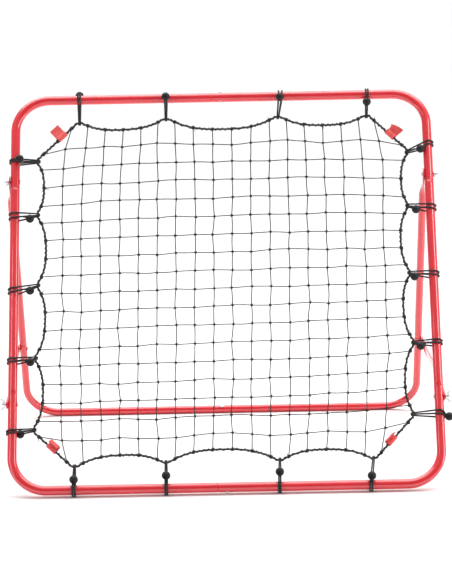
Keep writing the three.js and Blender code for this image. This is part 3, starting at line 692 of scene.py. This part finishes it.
# Each elastic loop's place along its tube, and where it pulls the rope to from the frame's bottom middle.
# Then its ball: along by its distance from the tube, how proud of the cords and how far hung down beside
# them, or its angle round the tube from the net by way of the front. Spread is half the cords' gap.
TOP_LOOPS = (
    dict(tube=-0.338, net=(-0.337, 0.917), angle=215, spread=0.0027),
    dict(tube=-0.131, net=(-0.131, 0.924), along=0.003, proud=0.0078, spread=0.0025),
    dict(tube=0.143, net=(0.136, 0.924), along=0.009, proud=0.0072, spread=0.0040),
    dict(tube=0.350, net=(0.347, 0.922), along=0.023, proud=0.0, spread=0.0026),
)
BOTTOM_LOOPS = (
    dict(tube=-0.348, net=(-0.346, 0.056), along=0.019, spread=0.0028),
    dict(tube=-0.138, net=(-0.138, 0.062), along=0.025, spread=0.0023),
    dict(tube=0.119, net=(0.121, 0.063), along=0.029, spread=0.0022),
    dict(tube=0.326, net=(0.334, 0.063), along=0.015, spread=0.0028),
)
LEFT_LOOPS = (
    dict(tube=0.140, net=(-0.439, 0.146), along=0.016, behind=True, spread=0.0032),
    dict(tube=0.314, net=(-0.437, 0.321), along=0.040, proud=0.003, hung=0.011, spread=0.0040),
    dict(tube=0.488, net=(-0.433, 0.502), along=0.038, proud=0.003, hung=0.012, spread=0.0048),
    dict(tube=0.677, net=(-0.435, 0.681), along=0.036, proud=0.003, hung=0.012, spread=0.0060),
    dict(tube=0.819, net=(-0.435, 0.819), along=0.010, proud=0.0068, spread=0.0028),
)
RIGHT_LOOPS = (
    dict(tube=0.168, net=(0.428, 0.167), angle=172, hung=0.009, spread=0.0045),
    dict(tube=0.341, net=(0.436, 0.342), along=0.037, proud=0.003, hung=0.012, spread=0.0040),
    dict(tube=0.511, net=(0.434, 0.516), along=0.044, proud=0.003, hung=0.012, spread=0.0044),
    dict(tube=0.680, net=(0.436, 0.687), along=0.034, proud=0.003, hung=0.012, spread=0.0050),
    dict(tube=0.845, net=(0.440, 0.826), along=0.017, proud=0.0035, hung=0.011, spread=0.0042),
)

# Anchor points of the border, anticlockwise from the lowest on the right, each with the rope's direction
anchors = [(loop["net"], (0, 1)) for loop in RIGHT_LOOPS]
anchors += [(loop["net"], (-1, 0)) for loop in reversed(TOP_LOOPS)]
anchors += [(loop["net"], (0, -1)) for loop in reversed(LEFT_LOOPS)]
anchors += [(loop["net"], (1, 0)) for loop in BOTTOM_LOOPS]
anchors = [(np.array(at), np.array(along)) for at, along in anchors]

rope_points, anchor_starts = [], []
for (at, along), (next_at, next_along) in zip(anchors, anchors[1:] + anchors[:1]):
    anchor_starts.append(len(rope_points))
    start, stop = at + along * HALF_PINCH, next_at - next_along * HALF_PINCH
    span = stop - start
    crosses_corner = along @ next_along < 0.5
    inward = np.array([-span[1], span[0]]) * (0 if crosses_corner else SCALLOP)
    rope_points.append(at)
    for share in np.linspace(0, 1, 60):
        rope_points.append(start + span * share + inward * (1 - abs(2 * share - 1) ** SCALLOP_FLAT))
rope_line = np.array([(x, y, 0) for x, y in rope_points])
rope_steps = np.linalg.norm(np.diff(rope_line, axis=0, append=rope_line[:1]), axis=1)
rope_run = np.concatenate([[0], np.cumsum(rope_steps)])
anchor_runs = np.append(rope_run[anchor_starts], rope_run[-1])


def on_rope(run):
    """The place at a distance along the border rope."""
    run = np.asarray(run) % rope_run[-1]
    closed_line = np.concatenate([rope_line, rope_line[:1]])
    return np.stack([np.interp(run, rope_run, closed_line[:, k]) for k in range(3)], -1)


def fibre_finish(name, dark, pale, turns_round, turns_along, depth):
    """Black fibre with slanting filaments, by distance round and along the yarn."""
    finish, shader = new_finish(name, 0.72, specular=0.3)
    shader.inputs["Sheen Weight"].default_value = 0.15
    run = add_node(finish, "ShaderNodeUVMap", {"uv_map": "round_and_along"}).outputs["UV"]
    slants = []
    for around in turns_round:
        lean = (2 * math.pi * around, 2 * math.pi * turns_along, 0)
        dot = add_node(finish, "ShaderNodeVectorMath", {"operation": "DOT_PRODUCT"}, {0: run, 1: lean})
        slants.append(add_node(finish, "ShaderNodeMath", {"operation": "SINE"}, {0: dot.outputs["Value"]}))
    height = slants[0].outputs[0]
    for slant in slants[1:]:
        higher = {0: height, 1: slant.outputs[0]}
        height = add_node(finish, "ShaderNodeMath", {"operation": "MAXIMUM"}, higher).outputs[0]
    raise_surface(finish, shader, height, 0.8, depth)
    faded = ramp(finish, mottle(finish, 60, 3), [(0.35, dark), (0.75, pale)])
    colour_from(finish, shader, faded)
    return finish


rope_finish = fibre_finish("laid_polypropylene", BLACK_TWINE, WORN_TWINE, (5,), 450, 0.0002)
random = np.random.default_rng(7)
rope_count = int(rope_run[-1] / ROPE_STEP)
rope_even = on_rope(np.arange(rope_count) * rope_run[-1] / rope_count)
rope_right, rope_above = sides_along(rope_even, closed=True)
lay_turns = 2 * math.pi * round(rope_run[-1] / LAY) * np.arange(rope_count) / rope_count
rope_strands = []
for strand in range(3):
    turn = (lay_turns + 2 * math.pi * strand / 3)[:, None]
    lifted = rope_even + STRAND_OUT * (np.cos(turn) * rope_right + np.sin(turn) * rope_above)
    rope_strands.append(skin(lifted, sides_along(lifted, closed=True), circle(STRAND, 7), closed=True))
# Finer twine wound all along the rope lashes the net's edge to it, now tighter, now looser
lash_count = int(rope_run[-1] / LASHING_STEP)
lash_even = on_rope(np.arange(lash_count) * rope_run[-1] / lash_count)
lash_right, lash_above = sides_along(lash_even, closed=True)
wander = 1 + 0.35 * np.sin(2 * math.pi * 23 * np.arange(lash_count) / lash_count)
lash_turns = np.cumsum(wander)
lash_turns *= 2 * math.pi * round(rope_run[-1] / LASHING_LAY) / lash_turns[-1]
lash_out = LASHING_OUT + LASHING_LIFT * np.abs(np.sin(lash_turns * 0.31 + 1))
lashing = lash_even + (lash_out * np.cos(lash_turns))[:, None] * lash_right
lashing += (lash_out * np.sin(lash_turns))[:, None] * lash_above
rope_strands.append(skin(lashing, sides_along(lashing, closed=True), circle(LASHING, 6), closed=True))
for _ in range(LOOSE_FILAMENTS):  # filaments worn loose
    start = on_rope(random.uniform(0, rope_run[-1])) + random.normal(0, 0.0010, 3)
    share = np.linspace(0, 1, 5)[:, None]
    lean = unit(random.normal(0, 1, 3))
    hair = start + lean * random.uniform(0.002, 0.006) * share + random.normal(0, 0.0012, 3) * share ** 2
    thin = 0.00016 * np.linspace(1, 0.5, 5)[:, None, None] * circle(1, 4)[None]
    rope_strands.append(skin(hair, sides_along(hair, (0.12, 0.31, 0.94)), thin))
rope = make_piece("net_border_rope_strands", rope_strands, FRONT, rope_finish, 180)
fit_piece(rope, "front_frame", "border_rope", "net_border_rope")

# Rebound net. Black knotted polyethylene twine in 45 mm squares, 19 across and 18 down. Each knot is a
# tight sheet bend, and the edge meshes are whipped to the border rope. It hangs back a little in the middle.
NET_COLUMNS = 19
NET_ROWS = 18
TWINE = 0.00122
TWINE_STEP = 0.0024
BELLY = 0.006
KNOT = 0.0019
SETTLING = 1500  # sweeps
UNEVEN = 0.0012
BLACK_NET = (0.012, 0.012, 0.013, 1)
GREY_NET = (0.026, 0.026, 0.028, 1)

# Edge knots lie evenly along the rope between anchors, which come between knots
RIGHT_ROWS = (1.5, 5.5, 9.5, 13.5, 16.5)  # meshes up from the bottom, at the anchors of each side
BAR_COLUMNS = (1.5, 6.5, 12.5, 17.5)
ring_places = [(NET_COLUMNS, row) for row in RIGHT_ROWS]
ring_places += [(column, NET_ROWS) for column in reversed(BAR_COLUMNS)]
ring_places += [(0, row) for row in reversed(RIGHT_ROWS)]
ring_places += [(column, 0) for column in BAR_COLUMNS]


def ring_steps(column, row):
    """How many meshes round the net's edge a place is, anticlockwise from its lower right corner."""
    if column == NET_COLUMNS:
        return row
    if row == NET_ROWS:
        return NET_ROWS + NET_COLUMNS - column
    if column == 0:
        return 2 * NET_ROWS + NET_COLUMNS - row
    return 2 * NET_ROWS + NET_COLUMNS + column


ring_total = 2 * (NET_ROWS + NET_COLUMNS)
anchor_steps = np.array([ring_steps(*place) for place in ring_places] + [ring_total + RIGHT_ROWS[0]])
knots = np.zeros((NET_COLUMNS + 1, NET_ROWS + 1, 3))
edge_runs = {}
for column in range(NET_COLUMNS + 1):
    for row in range(NET_ROWS + 1):
        if column in (0, NET_COLUMNS) or row in (0, NET_ROWS):
            steps = ring_steps(column, row)
            steps += ring_total if steps < anchor_steps[0] else 0
            edge_runs[column, row] = float(np.interp(steps, anchor_steps, anchor_runs))
            knots[column, row] = on_rope(edge_runs[column, row])

# Every inner knot settles at the mean of its four neighbours, as twine pulled evenly tight does
knots[1:-1, 1:-1] = (0, 0.49, 0)
for _ in range(SETTLING):
    neighbours = knots[:-2, 1:-1] + knots[2:, 1:-1] + knots[1:-1, :-2] + knots[1:-1, 2:]
    knots[1:-1, 1:-1] = neighbours / 4
across, up = np.meshgrid(np.linspace(-1, 1, NET_COLUMNS + 1), np.linspace(-1, 1, NET_ROWS + 1), indexing="ij")
knots[..., 2] -= BELLY * (1 - across ** 2) * (1 - up ** 2)
uneven = random.normal(0, UNEVEN, knots.shape)
knots[1:-1, 1:-1] += uneven[1:-1, 1:-1] * (1, 1, 0.6)

net_finish = fibre_finish("twisted_polyethylene", BLACK_NET, GREY_NET, (2,), 300, 0.00015)


def two_ply(count, run_step):
    """A twisted pair's outline at each step along it."""
    turns = 2 * math.pi * np.arange(6) / 6
    twist = 2 * math.pi * run_step * np.arange(count)[:, None] / 0.009
    radii = TWINE * (1 + 0.16 * np.cos(2 * (turns[None] - twist)))
    return radii[..., None] * np.stack([np.cos(turns), np.sin(turns)], -1)[None]


def twine_between(line):
    """Twine through a row of knots, each length a little slack in its own way."""
    route = []
    for start, stop in zip(line[:-1], line[1:]):
        count = max(4, int(np.linalg.norm(stop - start) / TWINE_STEP))
        share = np.arange(count)[:, None] / count
        bow = random.normal(0, 0.0004, 3)
        route.append(start + (stop - start) * share + np.sin(math.pi * share) * bow)
    route = np.concatenate([*route, line[-1:]])
    return skin(route, sides_along(route), two_ply(len(route), TWINE_STEP))


strands = [twine_between(knots[column]) for column in range(1, NET_COLUMNS)]
strands += [twine_between(knots[:, row]) for row in range(1, NET_ROWS)]
net = make_piece("rebound_net_twine", strands, FRONT, net_finish, 180)
fit_piece(net, "front_frame", "net_twine", "rebound_net")


def sheet_bend(turn, size):
    """A small tight closed knot, as a route about the origin."""
    around = np.linspace(0, 2 * math.pi, 22, endpoint=False)
    route = np.stack([np.sin(around) + 1.6 * np.sin(2 * around), np.cos(around) - 1.6 * np.cos(2 * around),
                      -np.sin(3 * around)], -1) * (0.62 * size)
    cos, sin = math.cos(turn), math.sin(turn)
    return route @ np.array([[cos, sin, 0], [-sin, cos, 0], [0, 0, 1]])


def whipping(run, turns=2.5):
    """Twine wound round the border rope where an edge mesh is tied to it."""
    share = np.linspace(0, 1, int(turns * 12))
    length = 0.0021 * turns
    centre = on_rope(run + length * (share - 0.5))
    ahead = unit(on_rope(run + 0.002) - on_rope(run - 0.002))
    beside = np.cross(ahead, (0, 0, 1))
    wind = 2 * math.pi * turns * share[:, None]
    return centre + 0.0036 * (np.cos(wind) * beside + np.sin(wind) * np.array([0, 0, 1.0]))


knot_skins = []
for column in range(1, NET_COLUMNS):
    for row in range(1, NET_ROWS):
        route = knots[column, row] + sheet_bend(random.uniform(0, 6.28), KNOT)
        knot_skins.append(skin(route, sides_along(route, closed=True), circle(TWINE, 5), closed=True))
for run in edge_runs.values():
    route = whipping(run)
    knot_skins.append(skin(route, sides_along(route, (0.3, 0.2, 0.9)), circle(TWINE, 5)))
    if random.random() < 0.45:  # a cut end left on the tie
        lean = unit(random.normal(0, 1, 3) * (1, 1, 0.6))
        share = np.linspace(0, 1, 6)[:, None]
        tail = on_rope(run) + lean * (0.003 + 0.008 * share) + random.normal(0, 0.0015, 3) * share ** 2
        thin = TWINE * np.linspace(0.8, 0.45, 6)[:, None, None] * circle(1, 5)[None]
        knot_skins.append(skin(tail, sides_along(tail, (0.1, 0.35, 0.93)), thin))
net_knots = make_piece("rebound_net_knots", knot_skins, FRONT, net_finish, 180)
fit_piece(net_knots, "front_frame", "net_twine")

# Corner tags. Coral woven polyester ribbon, 26 mm wide, folded round the border rope in each corner and
# stitched through both layers. Each has taken its own set: flat, curled, folded over or edge on.
RIBBON_HALF_WIDTH = 0.013
RIBBON_HALF_THICK = 0.00025
TAG_REACH = 0.030
RIBBON_RED = (0.83, 0.082, 0.078, 1)
RIBBON_PALE = (0.95, 0.15, 0.14, 1)

ribbon, ribbon_shader = new_finish("coral_woven_ribbon", 0.62, specular=0.3)
ribbon_shader.inputs["Sheen Weight"].default_value = 0.25
weave_coords = add_node(ribbon, "ShaderNodeUVMap", {"uv_map": "round_and_along"}).outputs["UV"]
weave_height = None
for lean in ((2 * math.pi * 88, 0, 0), (0, 2 * math.pi * 1400, 0)):
    dot = add_node(ribbon, "ShaderNodeVectorMath", {"operation": "DOT_PRODUCT"}, {0: weave_coords, 1: lean})
    wave = add_node(ribbon, "ShaderNodeMath", {"operation": "SINE"}, {0: dot.outputs["Value"]}).outputs[0]
    if weave_height is None:
        weave_height = wave
    else:
        both = {0: weave_height, 1: wave}
        weave_height = add_node(ribbon, "ShaderNodeMath", {"operation": "MULTIPLY"}, both).outputs[0]
raise_surface(ribbon, ribbon_shader, weave_height, 0.7, 0.00015)
colour_from(ribbon, ribbon_shader, ramp(ribbon, mottle(ribbon, 90, 3), [(0.3, RIBBON_RED), (0.75, RIBBON_PALE)]))
thread_finish, thread_shader = new_finish("red_sewing_thread", 0.55, specular=0.4)
colour_from(thread_finish, thread_shader,
            ramp(thread_finish, mottle(thread_finish, 900), [(0.3, CORAL_DEEP), (0.7, RIBBON_RED)]))


def softened(points, times=3):
    """A bent line with its corners cut away, ends kept."""
    for _ in range(times):
        near = points[:-1] * 0.75 + points[1:] * 0.25
        far = points[:-1] * 0.25 + points[1:] * 0.75
        points = np.concatenate([points[:1], np.stack([near, far], 1).reshape(-1, 3), points[-1:]])
    return points


def curl(points, start, radius, most, fan=0.0, skew=0.0, uneven=0.0):
    """Rolls what lies beyond start toward the front, one edge tighter if uneven, and spreads or slants it."""
    x, y, z = points.T
    past = np.maximum(x - start, 0)
    radius = radius * (1 + uneven * y / RIBBON_HALF_WIDTH)
    y = y * (1 + fan * past / TAG_REACH) + skew * past
    turn = np.minimum(past / radius, most)
    straight = past - radius * turn
    rolled_x = np.minimum(x, start) + radius * np.sin(turn) + straight * np.cos(turn) - z * np.sin(turn)
    rolled_z = radius * (1 - np.cos(turn)) + straight * np.sin(turn) + z * np.cos(turn)
    return np.stack([rolled_x, y, rolled_z], -1)


TAG_SETS = {
    "top_left": dict(start=0.009, radius=0.09, most=0.35, skew=-0.05),
    "top_right": dict(start=0.009, radius=0.018, most=1.5, fan=0.1, skew=-0.1, uneven=-0.65),
    "bottom_left": dict(start=0.0105, radius=0.0042, most=2.75, skew=0.1),
    "bottom_right": dict(start=0.0085, radius=0.0016, most=1.95, skew=-0.15),
}
# One layer from round the rope out to its free end; the other mirrors it and is cut a little shorter
layer = np.array([(-0.0056, 0, 0.0023), (-0.001, 0, 0.0055), (0.0048, 0, 0.0041), (0.0088, 0, 0.0010),
                  (0.0135, 0, 0.0005), (TAG_REACH, 0, 0.0006)])
under_layer = layer * (1, 1, -1)
under_layer[-1] = (TAG_REACH - 0.0012, 0, -0.0007)
fold_line = softened(np.concatenate([layer[::-1], under_layer]))
width_steps = np.linspace(-1, 1, 9) * RIBBON_HALF_WIDTH
ribbon_ring = np.concatenate([
    np.stack([np.full(9, RIBBON_HALF_THICK), width_steps], -1),
    np.stack([np.full(9, -RIBBON_HALF_THICK), width_steps[::-1]], -1),
])

# The two nearest loops, which way the corner is, how far along the rope the tag is, and 1 outward or -1 in
corner_pins = {
    "top_left": (TOP_LOOPS[0], LEFT_LOOPS[4], -1, 1, 0.38, 1),
    "top_right": (TOP_LOOPS[3], RIGHT_LOOPS[4], 1, 1, 0.56, 1),
    "bottom_left": (BOTTOM_LOOPS[0], LEFT_LOOPS[0], -1, -1, 0.53, -1),
    "bottom_right": (BOTTOM_LOOPS[3], RIGHT_LOOPS[0], 1, -1, 0.42, -1),
}
for corner, (bar_loop, side_loop, side, rise, share, way_out) in corner_pins.items():
    bar_end = np.array(bar_loop["net"]) + (side * HALF_PINCH, 0)
    side_end = np.array(side_loop["net"]) + (0, rise * HALF_PINCH)
    middle = bar_end + (side_end - bar_end) * share
    along = side_end - bar_end
    outward = np.array([-along[1], along[0]])
    outward *= way_out * np.sign(outward @ (side, rise))
    place = (FRONT @ Matrix.Translation((*middle, 0))
             @ Matrix.Rotation(math.atan2(outward[1], outward[0]), 4, "Z"))
    points, faces, run = skin(fold_line, sides_along(fold_line, (0, 1, 0)), ribbon_ring)
    tag = make_piece(f"tag_{corner}_ribbon", [(curl(points, **TAG_SETS[corner]), faces, run)], place, ribbon, 60)
    stitches = []
    for seam_x in (0.0110, 0.0262):
        for y in np.linspace(-0.0105, 0.0105, 8):
            for face in (1, -1):
                stitch = np.array([(seam_x, y - 0.0009, face * 0.0008), (seam_x, y - 0.0005, face * 0.0011),
                                   (seam_x, y + 0.0005, face * 0.0011), (seam_x, y + 0.0009, face * 0.0008)])
                points, faces, run = skin(stitch, sides_along(stitch), circle(0.0002, 6))
                stitches.append((curl(points, **TAG_SETS[corner]), faces, run))
    stitching = make_piece(f"tag_{corner}_stitching", stitches, place, thread_finish, 180)
    fit_piece(tag, "front_frame", "tag_ribbon", f"tag_{corner}")
    fit_piece(stitching, "front_frame", "tag_ribbon")

# Ball bungees. Each is doubled black braided elastic that ends in a moulded ball. It goes round the tube
# and the border rope and draws thinner toward the rope, where it pulls.
CORD = 0.0021  # radius
CORD_STEP = 0.0022
TUBE_LOOP = FRONT_TUBE + CORD + 0.00005
ROPE_LOOP = 0.0045
CORD_AT_NET = 0.0017  # stretched thinner there
BALL = 0.0099
BALL_OUT = 0.0215  # of a ball that sits against the tube, from the tube's centre
BALL_BLACK = (0.006, 0.006, 0.007, 1)
BALL_GREY = (0.016, 0.016, 0.018, 1)
EASE_TO_BALL = 0.018

elastic = fibre_finish("braided_elastic", (0.012, 0.012, 0.013, 1), (0.034, 0.034, 0.036, 1), (7, -7), 520, 0.0003)
ball_plastic, ball_shader = new_finish("moulded_ball", 0.5, specular=0.3)
colour_from(ball_plastic, ball_shader,
            ramp(ball_plastic, mottle(ball_plastic, 120, 3), [(0.35, BALL_BLACK), (0.75, BALL_GREY)]))
colour_from(ball_plastic, ball_shader,
            ramp(ball_plastic, mottle(ball_plastic, 300, 2), [(0.3, 0.42), (0.7, 0.6)]), "Roughness")
raise_surface(ball_plastic, ball_shader, mottle(ball_plastic, 2200, 2), 0.2, 0.0001)


def arc(centre_x, radius, start, stop):
    turns = np.radians(np.linspace(start, stop, max(2, math.ceil(abs(stop - start) / 9))))
    return np.stack([centre_x + radius * np.cos(turns), 0 * turns, radius * np.sin(turns)], -1)


def even_steps(points, step=CORD_STEP):
    run = np.concatenate([[0], np.cumsum(np.linalg.norm(np.diff(points, axis=0), axis=1))])
    at = np.linspace(0, run[-1], int(run[-1] / step))
    return np.stack([np.interp(at, run, points[:, k]) for k in range(3)], -1)


def loop_route(reach, angle=None, along=None, proud=0.006):
    """The elastic's route round the tube and the rope, and the ball's middle: x toward the net, z front."""
    tangent = math.degrees(math.acos((TUBE_LOOP - ROPE_LOOP) / reach))
    far = 360 - tangent
    net_end = arc(reach, ROPE_LOOP, far, 360 + tangent)
    if angle is not None:
        turn = math.radians(angle)
        ball = np.array([BALL_OUT * math.cos(turn), 0, BALL_OUT * math.sin(turn)])
        open_by = 6
        route = [arc(0, TUBE_LOOP, angle + open_by, far), net_end, arc(0, TUBE_LOOP, tangent, angle - open_by)]
        return np.concatenate(route), ball
    round_tube = arc(0, TUBE_LOOP, tangent, far)
    leave, arrive = round_tube[0], net_end[-1]
    front_run = arrive - leave
    foot = leave + front_run * (along - leave[0]) / front_run[0]
    out = unit(np.array([-front_run[2], 0, front_run[0]]))
    open_by = 0.0015 * unit(front_run)
    return np.concatenate([[foot - open_by], round_tube, net_end, [foot + open_by]]), foot + out * proud


def moulded_ball(centre, turn):
    """Two half shells' worth of ball, with a moulding seam and a hole for the cord at one pole."""
    lats = np.radians([62, 50, 40, 30, 20, 12, 6, 3, 1.6, 0.8, 0, -0.8, -1.6, -3, -6, -12, -20, -30, -40, -50, -62,
                       -74, -84])
    radii = np.full(len(lats), BALL)
    radii[9:12] += 0.00012
    profile = [(BALL * 0.20, BALL * 0.62), (BALL * 0.26, BALL * 0.88), (BALL * 0.33, BALL * 0.935)]
    profile += [(radius * math.cos(lat), radius * math.sin(lat)) for radius, lat in zip(radii, lats)]
    profile = np.array(profile)[::-1]
    axis = np.array([math.sin(turn), 0.25, math.cos(turn)])
    axis /= np.linalg.norm(axis)
    beside = unit(np.cross((0, 1.0, 0), axis))
    route = centre + profile[:, 1:] * axis
    sides = straight_sides(len(route), beside, np.cross(axis, beside))
    return skin(route, sides, profile[:, :1, None] * circle(1, 36)[None])


def hang_loop(name, loop, on_tube, turn):
    """Fits one bungee between the tube and the rope; turn points from the tube to the net."""
    cos, sin = math.cos(-turn), math.sin(-turn)
    to_net = np.array(loop["net"]) - on_tube
    reach, drift = cos * to_net[0] - sin * to_net[1], sin * to_net[0] + cos * to_net[1]
    kind = {key: loop[key] for key in ("angle", "along", "proud") if key in loop}
    route, ball = loop_route(reach, **kind)
    flip = -1 if loop.get("behind") else 1
    route, ball = route * (1, 1, flip), ball * (1, 1, flip)
    route = even_steps(route)
    hung = -math.cos(turn) * loop.get("hung", 0)
    from_end = np.minimum(np.arange(len(route)), np.arange(len(route))[::-1]) * CORD_STEP
    at_ball = np.clip(1 - from_end / EASE_TO_BALL, 0, 1) ** 2
    toward = np.clip(route[:, 0] / reach, 0, 1)
    apart = loop["spread"] + (CORD_AT_NET - loop["spread"]) * toward
    drift_at = np.maximum(route[:, 0], 0) * drift / reach
    thick = (CORD + (CORD_AT_NET - CORD) * toward)[:, None, None] * circle(1, 10)[None]
    cords = []
    for hand in (1, -1):
        cord = route.copy()
        cord[:, 1] = drift_at + hand * apart
        # A cord that ends in the ball bends over to it; its twin passes by and is one closed loop
        ends_in_ball = "angle" in loop or hand * hung > 0
        if ends_in_ball:
            cord[:, 1] += (hung - hand * (apart - CORD)) * at_ball
        cords.append(skin(cord, sides_along(cord, (0, 1, 0), not ends_in_ball), thick, not ends_in_ball))
    ball[1] = max(ball[0], 0) * drift / reach + hung
    place = FRONT @ Matrix.Translation((*on_tube, 0)) @ Matrix.Rotation(turn, 4, "Z")
    elastic_loop = make_piece(f"{name}_elastic", cords, place, elastic, 180)
    fit_piece(elastic_loop, "front_frame", "ball_bungee", name)
    shell = make_piece(f"{name}_ball", [moulded_ball(ball, turn * 2 + reach * 40)], place, ball_plastic, 50)
    fit_piece(shell, "front_frame", "ball_bungee")


for i, loop in enumerate(TOP_LOOPS, 1):
    hang_loop(f"bungee_top_{i}", loop, np.array([loop["tube"], FRAME_TOP]), -math.pi / 2)
for i, loop in enumerate(BOTTOM_LOOPS, 1):
    hang_loop(f"bungee_bottom_{i}", loop, np.array([loop["tube"], 0]), math.pi / 2)
for i, loop in enumerate(LEFT_LOOPS, 1):
    hang_loop(f"bungee_left_{i}", loop, np.array([-HALF_WIDTH, loop["tube"]]), 0)
for i, loop in enumerate(RIGHT_LOOPS, 1):
    hang_loop(f"bungee_right_{i}", loop, np.array([HALF_WIDTH, loop["tube"]]), math.pi)
